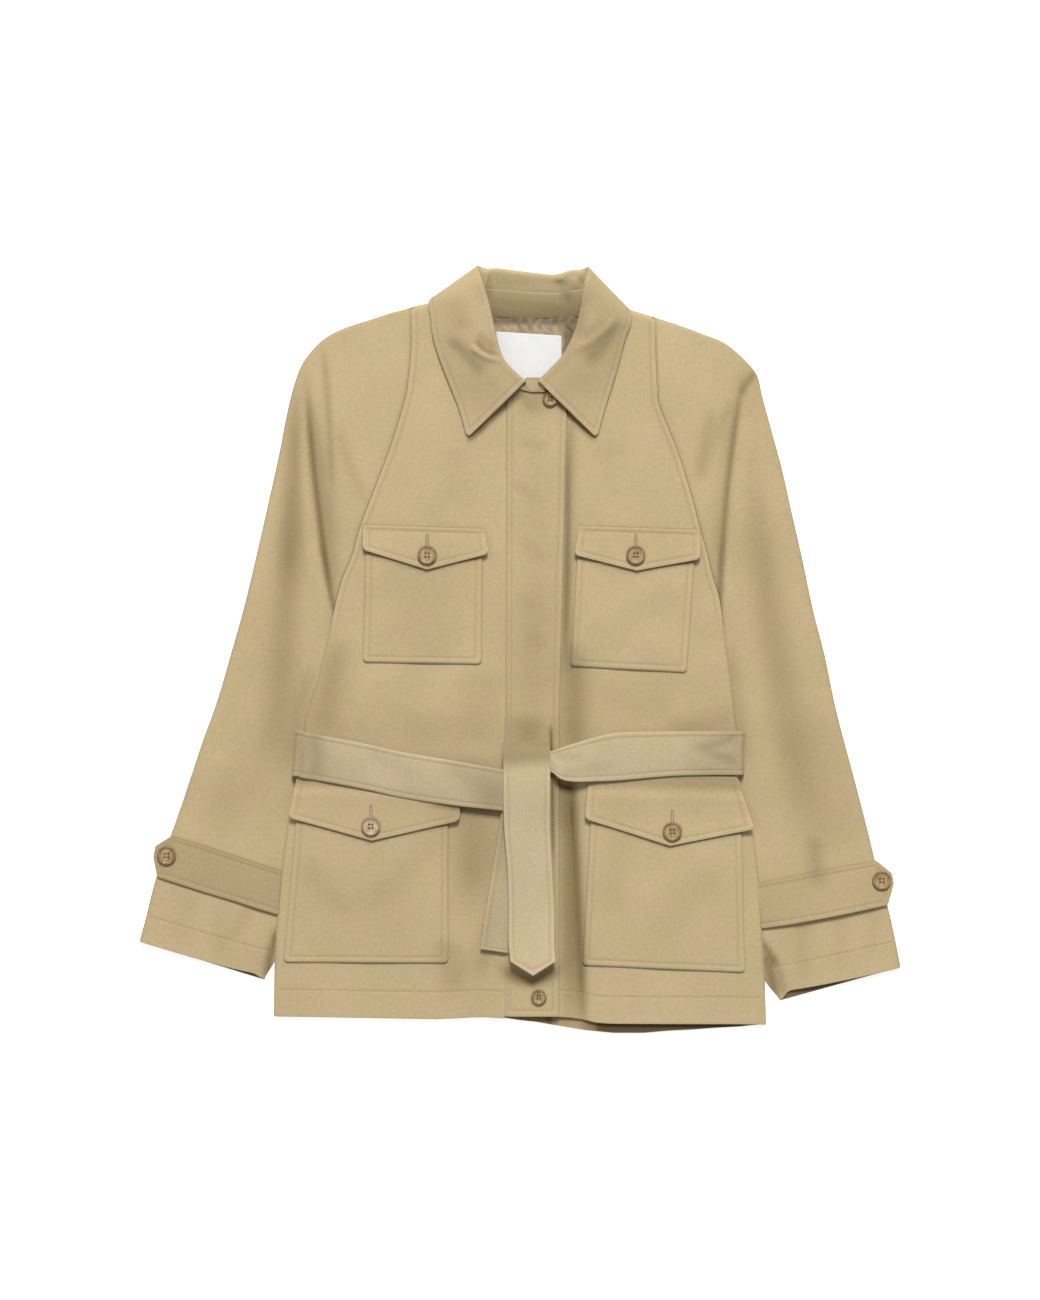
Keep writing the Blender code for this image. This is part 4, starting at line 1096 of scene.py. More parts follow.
def khaki_twill(name, dark, light, edge):
    """Cotton twill: diagonal ribs, slubs, soft mottling, paler edges, darker stitch lines and painted
    shade.
    """
    finish, wire = new_finish(name, 0.12)
    grain, across, down = wire.cloth()
    noise = {kind: grain.noise(*row) for kind, row in TWILL_NOISE.items()}
    slub, weft_slub, mottle = noise["slub"], noise["weft_slub"], noise["mottle"]
    rib = wire.math("SINE", (across + down * 0.7) * (2.0 * math.pi / TWILL_PITCH)) * 0.5 + 0.5
    worn = wire.attribute("wear")
    painted_shade = wire.attribute("painted_shade")
    uneven = slub * 0.22 + weft_slub * 0.18 + noise["speck"] * 0.22 + noise["knots"] * 0.42 + rib * 0.08
    shade = uneven + mottle * 0.30 + noise["cloud"] * 0.34 - 0.38
    tone = shade.ramp((0.25, dark), (0.75, light))
    tone = tone.tinted((noise["dye"] - 0.36) * 2.4, GREENER_DYE)
    tone = tone.mixed(worn * 0.3, edge)
    # The cloth is darkened by the painted shade each sheet carries, and darker still where that shade is
    # deepest
    tone = tone.tinted(wire.attribute("groove") * 0.36, GROOVE_TINT).tinted(painted_shade, PAINTED_SHADE_TINT)
    tone = tone.tinted(wire.math("MAXIMUM", painted_shade - PAINTED_DEEP_SHADE_FROM, 0.0) * 10.0, PAINTED_DEEP_SHADE_TINT)
    relief = rib * 0.55 + slub * 0.6 + weft_slub * 0.25
    return dressed(finish, tone, 0.82 + mottle * 0.12 - worn * 0.06, relief.bump(0.22, 0.00035))


def plain_weave(name, dark, light, threads):
    """A plain woven cloth: over and under threads, with soft mottling and painted shade."""
    finish, wire = new_finish(name, 0.05)
    grain, across, down = wire.cloth()
    turns = 2.0 * math.pi * threads
    weave = wire.math("SINE", across * turns) * wire.math("SINE", down * turns) * 0.5 + 0.5
    mottle = grain.noise((1.0, 1.0, 1.0), 60.0, 3.0)
    crumple = grain.noise((1.0, 0.7, 1.0), 190.0, 1.0)
    shade = weave * 0.2 + mottle * 0.4 + crumple * 0.55 - 0.075
    # Painted shade darkens the cloth where the sheet marks shadow
    tone = shade.ramp((0.25, dark), (0.75, light)).tinted(wire.attribute("painted_shade"), (0.30, 0.27, 0.22))
    return dressed(finish, tone, 0.62 + mottle * 0.16, weave.bump(0.2, 0.0002))


def horn(name, shade):
    """Polished horn: brown with paler streaks, a clouded face and a darker rim."""
    finish, wire = new_finish(name, 0.0)
    place = wire.place()
    streaks = place.noise((1.0, 0.35, 1.0), 420.0 + 90.0 * shade, 4.0)
    clouds = place.noise((1.0, 1.0, 1.0), 160.0, 2.0)
    brown = (0.19 + 0.15 * shade, 0.117 + 0.128 * shade, 0.042 + 0.096 * shade, 1.0)
    pale = (0.41 + 0.11 * shade, 0.292 + 0.133 * shade, 0.128 + 0.157 * shade, 1.0)
    tone = (streaks * 0.6 + clouds * 0.4).ramp((0.34, brown), (0.62, pale))
    tone = tone.tinted(wire.attribute("rim") * 0.7, (0.56, 0.51, 0.44))
    return dressed(finish, tone, 0.28 + streaks * 0.2, streaks.bump(0.15, 0.0002))


def thread(name, dark, light):
    """Twisted sewing thread."""
    finish, wire = new_finish(name, 0.2)
    twist = wire.place().noise((1.0, 1.0, 1.0), 2600.0, 1.0)
    return dressed(finish, twist.ramp((0.3, dark), (0.7, light)), 0.65 + twist * 0.2)


twill = khaki_twill("khaki_twill", (0.41, 0.31, 0.17, 1), (0.53, 0.41, 0.242, 1), (0.57, 0.455, 0.285, 1))
belt_twill = khaki_twill(
    "khaki_belt_twill", (0.438, 0.342, 0.206, 1), (0.566, 0.450, 0.291, 1), (0.59, 0.485, 0.325, 1)
)
lining_cloth = plain_weave("grey_tan_lining", (0.195, 0.145, 0.08, 1), (0.45, 0.36, 0.23, 1), 900.0)
label_cloth = plain_weave("white_label", (0.68, 0.68, 0.675, 1), (0.74, 0.74, 0.735, 1), 1100.0)
seam_thread = thread("khaki_thread", (0.44, 0.34, 0.20, 1), (0.62, 0.50, 0.32, 1))
hole_thread = thread("buttonhole_thread", (0.27, 0.20, 0.105, 1), (0.43, 0.335, 0.195, 1))
button_thread = thread("brown_thread", (0.10, 0.065, 0.03, 1), (0.22, 0.15, 0.07, 1))


def front(name, right_side):
    columns = [0, 1] if right_side else [2, 3]
    _, length = place_at(BODY, columns, 0.0)
    up = run(length, by_edge(HEM_STITCH, HEM_POINTS, PAST_HEM_GROOVE), SHOULDER_POINTS, 3.0)
    places, _ = place_at(BODY, columns, length - up)
    right_x, right_y, left_x, left_y, right_inner, left_inner = in_columns(BODY, places)
    at_placket = at_height(PLACKET_SEAM, right_y) + PLACKET_OVER
    right_inner = np.where(right_y < FRONT_NECK_Y, at_placket, right_inner)
    edge_x, inner_x = (right_x, right_inner) if right_side else (left_x, left_inner)
    width = np.abs(inner_x - edge_x)
    away = run(width[:, 0], by_edge(RAGLAN_STITCH), EDGE_POINTS[:-1] + (4.0,), 3.2)
    x = edge_x + np.sign(inner_x - edge_x) * away
    y = right_y + (left_y - right_y) / (left_x - right_x) * (x - right_x)
    from_top = (length - up)[:, None]
    y = y + shoulder_rise(away, from_top)
    lift = HEM_LIFT_RIGHT if right_side else HEM_LIFT
    y = y + at_height(lift, x) * smooth((places - HEM_LIFT_ROWS[0]) / HEM_LIFT_ROWS[1])[:, None]
    rim = CLOTH + FRONT_RIM_GAP + belt_lift(y)
    shoulder = quarter_round(from_top / EDGE_ROLL)
    under = underarm_share(y)
    rise = (1.0 - under * (1.0 - quarter_round(away / EDGE_ROLL))) * shoulder
    z = rim + (body_level(x, y) - rim) * rise
    from_hem = up[:, None] + 0.0 * away
    raglan = (1.0 - under) * smooth((length - from_hem - 4.0) / 4.0)
    edges = (
        Edge(away, RAGLAN_STITCH, 0.6, 1, raglan),
        Edge(from_hem, HEM_STITCH, 0.5),
        Edge(width - away, 0.0, 0.5, 1),
    )
    # Painted shade along the shoulder's rim where it rolls down
    shade = RIM_PAINTED_SHADE * (1.0 - shoulder) ** 2
    sheet(name, xyz(x, y, z), PANEL_WALL, twill, edges, grain=0.0, shade=shade, flip=not right_side)


def back(name):
    """The back panel, its outer face down on the surface and lifted over the belt."""
    _, length = place_at(BODY, [0, 1], 0.0)
    hem = by_edge(HEM_STITCH, BACK_HEM_POINTS, PAST_HEM_GROOVE)
    up = run(length, hem, (0.0, 0.5, 1.5, 4.0), 5.0)
    places, _ = place_at(BODY, [0, 1], length - up)
    right_x, right_y, left_x, left_y = in_columns(BODY, places)[:4]
    width = left_x - right_x
    away = sewn_run(width[:, 0], RAGLAN_STITCH, 5.0)
    share = away / width
    x = right_x + width * share
    y = right_y + (left_y - right_y) * share
    from_side = np.minimum(away, width - away)
    y = y + shoulder_rise(from_side, (length - up)[:, None])
    neck_fade = smooth(1.0 - places / 1.5)[:, None]
    y = y - BACK_NECK_DIP * neck_fade * smooth((BACK_NECK_HALF - np.abs(x - BACK_NECK_X)) / BACK_NECK_FADE)
    y = y - smooth((places - HEM_DROP_ROWS[0]) / HEM_DROP_ROWS[1])[:, None] * at_height(HEM_DROP, x)
    lie = BACK_LIE * (1.0 + np.sin(x / 41.0 + 0.5 * np.sin(y / 57.0)) * np.sin(y / 83.0 + 0.3))
    z = belt_lift(y) + FLOOR_GAP + lie * smooth(from_side / 40.0)
    from_hem = up[:, None] + 0.0 * away
    edges = both_edges(away, width, RAGLAN_STITCH, 0.0, 1, 1.0 - underarm_share(y))
    edges += (Edge(from_hem, HEM_STITCH, 0.0),)
    # Painted shade on the strip of the back's hem that shows below the fronts
    shade = at_height(HEM_PAINTED_SHADE, x) * smooth((HEM_PAINTED_SHADE_REACH - from_hem) / 5.0)
    sheet(name, xyz(x, y, z), PANEL_WALL, twill, edges, BACK_RELIEF, 0.0, shade=shade, flip=True)


def shoulder_rise(away, from_top):
    """How much the shoulder edge rises from the raglan seam to the collar."""
    return SHOULDER_SLOPE * np.minimum(away, 24.0) * smooth(1.0 - from_top / 30.0)


def body_side(y, right_side):
    """Where the body's side edge lies at a height."""
    side = between(BODY, np.linspace(0.0, len(BODY) - 1.0, 401))
    edge_x, edge_y = (side[:, 0], side[:, 1]) if right_side else (side[:, 2], side[:, 3])
    return np.interp(-y, -edge_y, edge_x)


def sink(height, from_seam):
    """How far a sleeve's top sinks towards the side of the body, which lies over it."""
    return (height - SLEEVE_FOOT) * (1.0 - np.clip(from_seam / SLEEVE_SLOPE, 0.0, 1.0)) ** 2


def sleeve(name, table, right_side, cuff_gape, gape_run, grain):
    """One sheet folded round: out along the underside, round the outer fold and back over the top.

    Its inner edge lies under the raglan edge of the front, and lower down under the side of the body.
    """
    outward = -1.0 if right_side else 1.0
    _, length = place_at(table, [0, 1], 0.0)
    cuff = by_edge(HEM_STITCH, HEM_POINTS, PAST_HEM_GROOVE)
    up = run(length, cuff, (0.0, 0.6, 1.6, 3.2, 5.6), 2.5)[:, None]
    outer_x, outer_y, inner_x, inner_y = in_columns(table, place_at(table, [0, 1], up[:, 0])[0])
    tucked_x = body_side(inner_y, right_side) - outward * SLEEVE_UNDER
    inner_x = inner_x + (tucked_x - inner_x) * smooth((inner_y - inner_y[0] - 2.0) / 30.0)
    width = np.hypot(inner_x - outer_x, inner_y - outer_y)
    fold_angles = np.radians(np.linspace(-90, 90, 13))
    under_width = np.maximum(width - SLEEVE_FOLD, 1.0)[:, 0]
    under = width - run(under_width, (0.0, 0.15), (0.0, 0.15), 9.0)[:, :-1]
    fold = np.minimum(SLEEVE_FOLD, 0.3 * width) * (1.0 - np.cos(fold_angles))
    start = fold[:, -1:]
    near_seam = np.array(SLEEVE_SEAM_POINTS) * np.minimum(1.0, (width - start) / 30.0)
    over = start + run((width - start)[:, 0], (0.0,), near_seam, 3.2)[:, 1:]
    away = np.concatenate([under, fold, over], axis=1)
    rise = 0.5 + 0.5 * np.sin(fold_angles)
    lifted = np.concatenate([0.0 * under, rise + 0.0 * fold, 1.0 + 0.0 * over], axis=1)
    on_top = lifted >= 1.0
    share = away / width
    x = outer_x + (inner_x - outer_x) * share
    y = outer_y + (inner_y - outer_y) * share
    lengthwise = np.array((outer_x[CUFF_ROW] - outer_x[0], outer_y[CUFF_ROW] - outer_y[0]))
    lengthwise /= np.linalg.norm(lengthwise)
    gape = cuff_gape * np.maximum(share, 0.0) ** gape_run * smooth((1.0 - share) / 0.10)
    gape = gape * on_top * np.clip(1.0 - up / CUFF_DEPTH, 0.0, 1.0)
    x = x + lengthwise[0] * gape
    y = y + lengthwise[1] * gape
    from_seam = width - away
    bulge = SLEEVE_BULGE * np.sin(math.pi * np.clip(share, 0.0, 1.0)) * smooth((up - 140.0) / 90.0)
    level = sleeve_level(x, y) + bulge * smooth(width / 90.0)
    closed = underarm_share(inner_y)
    top = level - closed * sink(level, from_seam) - (1.0 - closed) * SLEEVE_SEAM_DIP * bell(from_seam, 6.0)
    points = xyz(x, y, np.where(on_top, top, level * lifted))
    edges = (Edge(up + 0.0 * away, HEM_STITCH, 0.4, 0, 1.0 * on_top),)
    # Painted shade: a shadow line where the front laps over the sleeve at the raglan seam, shade inside the
    # cuff's opening, and shade on the outer fold's rim
    past_seam = outward * (x - body_side(y, right_side))
    raglan = RAGLAN_PAINTED_SHADE * bell(past_seam, 1.5) * (1.0 - closed) * on_top
    raglan = raglan * smooth((up[-1] - up - 3.0) / 8.0)
    inside_cuff = CUFF_PAINTED_SHADE * (lifted <= 0.0) * smooth((CUFF_DEPTH - up) / 30.0)
    rim = RIM_PAINTED_SHADE * (lifted > 0.0) * np.clip(1.0 - away / 5.0, 0.0, 1.0) ** 2
    rim = rim * smooth((up[-1] - up - 2.0) / 10.0)
    shade = np.maximum(np.maximum(raglan, inside_cuff), rim)
    sheet(name, points, PANEL_WALL, twill, edges, 0.0, grain, SLEEVE_CREASES, shade, not right_side)


def collar_parts(stations):
    """Collar sections at stations: seam, stand top, roll arc, leaf edge and the leaf's facing."""
    table = between(COLLAR, stations)
    seam, tip, edge = table[:, 0:3], table[:, 3:6], table[:, 6:9]
    turn = np.radians(table[:, 9:10])
    outward = (edge - tip) * (1.0, 1.0, 0.0)
    outward /= np.linalg.norm(outward, axis=1, keepdims=True)
    side = xyz(outward[:, 1], -outward[:, 0], 0.0)
    side = np.where(side[:, 1:2] < 0, -side, side)
    upright = np.cos(turn)
    leafward = upright * (0.0, 0.0, 1.0) + np.sin(turn) * side
    radius = COLLAR_ROLL * (0.25 + 0.75 * np.abs(upright))
    centre = tip + radius * outward
    angles = np.radians(np.linspace(-90, 90, 13))
    roll = [centre + radius * (math.sin(a) * leafward - math.cos(a) * outward) for a in angles]
    from_front = np.minimum(stations, LAST_STATION - stations)[:, None]
    stand_share = STAND_SHARE + 0.4 * smooth(1.0 - from_front / 1.5)
    stand_top = seam + stand_share * (roll[0] - seam)
    swell = LEAF_SWELL * np.maximum(upright, 0.0) * leafward
    return seam, stand_top, roll, edge, swell


def collar_stations():
    near = np.concatenate([np.linspace(0.0, 0.7, 29), np.linspace(0.75, 1.0, 4)])
    return np.concatenate([near, np.linspace(1.08, 18.92, 260), LAST_STATION - near[::-1]])


def collar_leaf(name):
    stations = collar_stations()
    _, stand_top, roll, edge, swell = collar_parts(stations)
    length = np.linalg.norm(roll[-1] - edge, axis=1)
    from_edge = run(length, by_edge(COLLAR_STITCH), (0.0,), 1.9)[:, :-1]
    share = 1.0 - from_edge / length[:, None]
    leaf = roll[-1][:, None] + (edge - roll[-1])[:, None] * share[..., None]
    leaf = leaf + swell[:, None] * np.sin(math.pi * share)[..., None]
    settled = LEAF_SETTLE * smooth(1.0 - np.minimum(stations, LAST_STATION - stations) / 2.4)
    leaf[..., 2] -= settled[:, None] * np.sin(math.pi * share)
    arc = np.stack(roll[::-1], axis=1)
    fall = np.linspace(0.0, 1.0, 9)[1:, None]
    inside = roll[0][:, None] + (stand_top - roll[0])[:, None] * fall
    points = np.concatenate([leaf, arc, inside], axis=1)
    away = travelled(points, 1)
    from_back = np.abs(stations - BACK_STATION)[:, None]
    soft_roll = LEAF_SOFT_ROLL * smooth((from_back - 4.9) / 1.0)
    arc_share = 0.5 + 0.5 * np.sin(np.radians(np.linspace(90, -90, arc.shape[1])))
    leaf_share = bell(share * length[:, None], 11.0)
    flattened = [leaf_share, arc_share + 0.0 * from_back, 0.0 * inside[..., 0]]
    points[..., 2] -= soft_roll * np.concatenate(flattened, axis=1)
    fronts = []
    rounded = 0.0 * points
    for first in (0, -1):
        start, end = points[first, 0], points[first, leaf.shape[1] - 1]
        line = (end - start) / np.linalg.norm(end - start)
        offset = points - start
        square = np.linalg.norm(offset - (offset @ line)[..., None] * line, axis=-1)
        along = np.linalg.norm(points - points[first], axis=-1)
        near_front = (stations < BACK_STATION if first == 0 else stations > BACK_STATION)[:, None]
        fronts.append(np.where(near_front, np.where(away < length[:, None], square, along), 60.0))
        edge_way = points[POINT_STATIONS if first == 0 else -1 - POINT_STATIONS, 0] - start
        edge_way = edge_way / np.linalg.norm(edge_way)
        aside, up = corner_turn(fronts[-1], away, POINT_ROUND)
        rounded = rounded + aside[..., None] * edge_way + up[..., None] * line
    points = points + rounded
    x, y = points[..., 0], points[..., 1]
    on_leaf = away < length[:, None] + 16.0
    on_fronts = ((stations < FRONT_STATIONS[0]) | (stations > FRONT_STATIONS[1]))[:, None] & on_leaf
    in_neck = ((stations > NECK_STATIONS[0]) & (stations < NECK_STATIONS[1]))[:, None] & ~on_leaf
    front_relief, front_shade = crease_shape(LEAF_CREASES, x, y)
    neck_relief, neck_shade = crease_shape(NECK_CREASES, x, y)
    from_stand = away[:, -1:] - away
    neck_relief = neck_relief * smooth((from_stand - 2.0) / 9.0)
    relief = front_relief * on_fronts + neck_relief * in_neck - bell(from_stand, 3.4)
    # Painted shade: the upper parts of the leaf's fronts darker, the left front more, with their creases'
    # shade, and the shade of the creases inside the back of the neck
    turned_away_shade = np.where(stations > BACK_STATION, 0.20, 0.06)[:, None] * smooth((y - 232.0) / 70.0)
    shade = (turned_away_shade + (1.0 - turned_away_shade) * front_shade) * on_fronts + 0.85 * neck_shade * in_neck
    edges = (
        Edge(away, COLLAR_STITCH, 0.5, 1),
        Edge(fronts[0], COLLAR_STITCH, 0.5, 0, 1.0 * on_leaf),
        Edge(fronts[1], COLLAR_STITCH, 0.5, 0, 1.0 * on_leaf),
    )
    sheet(name, points, LEAF_WALL, twill, edges, relief, creases=(), shade=shade)


def collar_stand(name):
    seam, stand_top, *_ = collar_parts(collar_stations())
    run_up = (stand_top - seam) / np.linalg.norm(stand_top - seam, axis=1, keepdims=True)
    top = stand_top + STAND_UNDER * run_up
    share = np.array(STAND_ROWS)
    points = top[:, None] + (seam - top)[:, None] * share[:, None]
    lap = np.linspace(1.0, 0.0, 13)[:-1, None]
    lap_x = (STAND_LAP + STAND_LAP_TOP * (1.0 - share)) * lap
    lap_y = STAND_LAP_RISE * smooth(3.0 * lap) * (1.0 - share)
    lap_z = (seam[0, 2] + STAND_LAP_GAP - points[0, :, 2]) * smooth(3.0 * lap)
    points = np.concatenate([points[:1] + xyz(lap_x, lap_y, lap_z), points])
    away = np.linalg.norm(points - points[:, :1], axis=-1)
    x, y = points[..., 0], points[..., 1]
    from_middle = np.abs(x - NECK_CENTRE[0])
    # Painted shade inside the back of the stand, darkest towards its seam and along its creases, and a dark
    # line along the lap's top edge where the fronts close
    inside_back_shade = smooth(1.7 - from_middle / 55.0) * smooth((y - STAND_BACK_Y) / 25.0)
    creased = crease_shape(NECK_CREASES, x, y)[1]
    shade = inside_back_shade * (1.0 - (0.84 - 0.66 * share**1.2) * (1.0 - creased))
    closing_shade = smooth((13.0 - from_middle) / 4.0) * (y < CLOSING_Y)
    shade = np.maximum(shade, closing_shade * (0.12 + 0.6 * bell(away, 1.1)))
    edges = (Edge(away, 0.0, 0.2, 1, 1.0, 0.8),)
    sheet(name, points, LEAF_WALL, twill, edges, 0.1, creases=(), shade=shade)


def placket(name):
    neck = (0.0, 0.3, 0.9, 1.8, 3.0, 5.0)
    down = run(PLACKET_NECK_Y - PLACKET_HEM_Y, neck, by_edge(PLACKET_STITCH), 3.2)[:, None]
    level_y = PLACKET_NECK_Y - down
    seam_x = at_height(PLACKET_SEAM, level_y)
    width = at_height(PLACKET_FREE, level_y) - seam_x
    away = sewn_run(width[:, 0], PLACKET_STITCH, 3.0)
    x = seam_x + away
    y = level_y + PLACKET_NECK_CURVE * (x - PLACKET_NECK_X) ** 2 * (1.0 - down / down[-1]) ** 6
    from_hem = down[-1] - down + 0.0 * away
    edges = (
        Edge(away[::-1], PLACKET_STITCH, 0.55, 1),
        Edge((width - away)[::-1], PLACKET_STITCH, 0.6, 1),
        Edge(from_hem[::-1], PLACKET_STITCH, 0.5),
    )
    sheet(name, xyz(x, y, placket_level(x, y))[::-1], PATCH_WALL, twill, edges, grain=0.0)


def corner_turn(from_side, from_low, radius=CORNER_ROUND):
    """How far points near a turned corner move in from its side and from its low edge to round it."""
    side = np.clip(1.0 - from_side / radius, 0.0, 1.0)
    low = np.clip(1.0 - from_low / radius, 0.0, 1.0)
    draw = 1.0 - np.maximum(side, low) / np.maximum(np.hypot(side, low), 1e-9)
    return radius * side * draw, radius * low * draw


def across_point(width, stitch, step):
    """Distances across a piece, with one in the middle for its point."""
    half = run(0.5 * width, by_edge(stitch), (0.0,), step)
    return np.concatenate([half, width - half[-2::-1]])


def patch(corners, point, stitch_top, stitch_side, stitch_low):
    """A four-sided patch, pointed below or not, as rows to +Y with distances from its edges."""
    top_right, top_left, low_left, low_right = [np.array(corner, float) for corner in corners]
    width = 0.5 * (np.linalg.norm(top_left - top_right) + np.linalg.norm(low_left - low_right))
    across = across_point(width, stitch_side, 3.0)
    share = (across / width)[:, None]
    top = top_right + (top_left - top_right) * share
    if point is None:
        low = low_right + (low_left - low_right) * share
    else:
        right_half = low_right + (point - low_right) * 2 * share
        left_half = point + (low_left - point) * (2 * share - 1)
        low = np.where(share <= 0.5, right_half, left_half)
    height = np.linalg.norm(low - top, axis=1)
    slope = np.gradient(low, axis=0)
    fall = (low - top) / height[:, None]
    square = np.abs(slope[:, 0] * fall[:, 1] - slope[:, 1] * fall[:, 0]) / np.linalg.norm(slope, axis=1)
    down = run(height, by_edge(stitch_top), by_edge(stitch_low), 3.2)
    spots = top[:, None] + fall[:, None] * down[..., None]
    spots = spots.swapaxes(0, 1)[::-1]
    away = across[None] + 0.0 * spots[..., 0]
    from_top = down.T[::-1]
    from_low = ((height[:, None] - down) * square[:, None]).T[::-1]
    inward = (top_left - top_right) / np.linalg.norm(top_left - top_right)
    for from_side, way in ((away, inward), (width - away, -inward)):
        aside, up = corner_turn(from_side, from_low)
        spots = spots + aside[..., None] * way - up[..., None] * fall[None]
    return spots[..., 0], spots[..., 1], away, width - away, from_top, from_low


def pocket(name):
    distances = patch(POCKETS[name], None, POCKET_TOP_STITCH, POCKET_STITCH, POCKET_STITCH)
    x, y, from_right, from_left, from_top, from_low = distances
    share = from_right / (from_right + from_left)
    down = from_top / (from_top + from_low)
    swell = np.sin(math.pi * share)
    puff = POCKET_PUFF * swell * np.sin(math.pi * np.clip((down - 0.3) / 0.7, 0.0, 1.0))
    puff = puff + 0.5 * swell * smooth((down - 0.1) / 0.3) * np.sin(9.0 * share + 3.0 * down)
    puff = puff - 0.9 * smooth(1.0 - from_top / 14.0)
    edges = (
        Edge(from_right, POCKET_STITCH, 1.7, 1, 1.0, 2.4),
        Edge(from_left, POCKET_STITCH, 1.7, 1, 1.0, 2.4),
        Edge(from_low, POCKET_STITCH, 1.9, 0, 1.0, 2.2),
    )
    # Painted shadow of the flap's lower edge on the pocket, stronger towards the flap's ends
    _, _, flap_left, flap_right, flap_point = np.array(FLAPS[name.replace("pocket", "flap")], float)
    from_lip = away_from(*np.transpose((flap_right, flap_point, flap_left)), x, y)
    by_corner = 0.6 + 0.4 * smooth((np.abs(x - flap_point[0]) - 12.0) / 35.0)
    shade = FLAP_PAINTED_SHADOW[name.split("_")[0]] * by_corner * bell(from_lip, 2.5)
    points = xyz(x, y, body_level(x, y) + LAID + TRIM + puff)
    sheet(name, points, PATCH_WALL, twill, edges, grain=0.0, shade=shade)


def flap(name):
    """A pointed flap. The hip flaps run up under the belt."""
    tucked = name in FLAP_TUCK
    corners, point = np.array(FLAPS[name][:4], float), np.array(FLAPS[name][4], float)
    corners[:2] += FLAP_TUCK.get(name, 0.0)
    distances = patch(corners, point, FLAP_STITCH, FLAP_SIDE_STITCH, FLAP_STITCH)
    x, y, from_right, from_left, from_top, from_low = distances
    corner_lift = FLAP_CORNER_LIFT * bell(np.minimum(from_right, from_left), 14.0) * bell(from_low, 12.0)
    points = xyz(x, y, flap_level(name, x, y) + corner_lift)
    edges = (
        Edge(from_right, FLAP_SIDE_STITCH, 0.5, 1),
        Edge(from_left, FLAP_SIDE_STITCH, 0.5, 1),
        Edge(from_top, FLAP_STITCH, 0.25, 0, 0.6 if tucked else 1.0),
        Edge(from_low, FLAP_STITCH, 0.45),
    )
    # Painted shade: a dark line along the top of the chest flaps, the belt's shadow below its edge on the
    # hip flaps, and a little more over each flap's top
    tone, under_belt, reach, ridge = (0.34, 10.0, 6.0, 0.0) if tucked else (0.72, 0.0, 1.1, 0.4)
    shade = tone * bell(np.maximum(from_top - under_belt, 0.0), reach)
    shade = np.maximum(shade, 0.12 * smooth(1.4 - from_top / 14.0))
    sheet(name, points, PATCH_WALL, twill, edges, ridge * bell(from_top - 2.6, 1.7), 0.0, shade=shade)


def belt_run(name, table, right_side, droop, grain):
    """A stretch of the belt: from the floor round the side edge, then over the front to the knot."""
    outward = -1.0 if right_side else 1.0
    upper_x, upper_y, lower_x, lower_y, rise = table[0]
    width = math.hypot(upper_x - lower_x, upper_y - lower_y)
    across = sewn_run(width, BELT_STITCH, 3.0)[:, None]
    share = across / width
    end_y = lower_y + (upper_y - lower_y) * share
    turn_x = lower_x + (upper_x - lower_x) * share - outward * BELT_TURN
    top = body_level(turn_x, end_y) + rise + BELT
    angles = np.radians(np.linspace(-90, 90, 15))
    wrap_x = turn_x + outward * BELT_TURN * np.cos(angles)
    wrap_z = top * (0.5 + 0.5 * np.sin(angles))
    under_x = turn_x - outward * BELT_UNDER * np.array((1.0, 0.5))
    _, length = place_at(table, [0, 1], 0.0)
    places, _ = place_at(table, [0, 1], np.arange(9.0, length, 3.2))
    upper_x, upper_y, lower_x, lower_y, rise = between(table, places).T
    x = lower_x + (upper_x - lower_x) * share
    y = lower_y + (upper_y - lower_y) * share
    bow = BELT_RUN_BOW * np.sin(math.pi * share) * smooth((places - 0.2) / 1.0)
    z = body_level(x, y) + rise + BELT + bow + crease_shape(BELT_CREASES, x, y)[0]
    droop = droop * (1.0 - share) ** 4
    z = z - droop * smooth((np.abs(x) - BELT_DROOP_X) / 20.0) * smooth((places - 0.1) / 0.8)
    if not right_side:
        lift = KNOT_LIFT * (1.0 - share) ** 2
        z = z + lift * smooth((x - KNOT_LIFT_X[0]) / 14.0) * smooth((KNOT_LIFT_X[1] - x) / 26.0)
    points = np.concatenate([xyz(under_x, end_y, 0.0), xyz(wrap_x, end_y, wrap_z), xyz(x, y, z)], axis=1)
    edges = both_edges(across + 0.0 * points[..., 0], width, BELT_STITCH, 0.5, 0)
    shade = BELT_RUN_SHADE
    sheet(name, points, BELT_RUN_WALL, belt_twill, edges, 0.0, grain, BELT_CREASES, shade, not right_side)


def belt_back(name):
    """The stretch across the back, its outer face down."""
    width = 2 * BELT_BACK_HALF
    across = sewn_run(width, BELT_STITCH, 4.0)
    x, away = np.meshgrid(np.linspace(BELT_BACK_LEFT, BELT_BACK_RIGHT, 80), across)
    points = xyz(x, BELT_BACK_Y - BELT_BACK_HALF + away, 0.0)
    edges = both_edges(away, width, BELT_STITCH, 0.3, 0)
    sheet(name, points, BELT_WALL, belt_twill, edges, -0.45, 90.0, ())


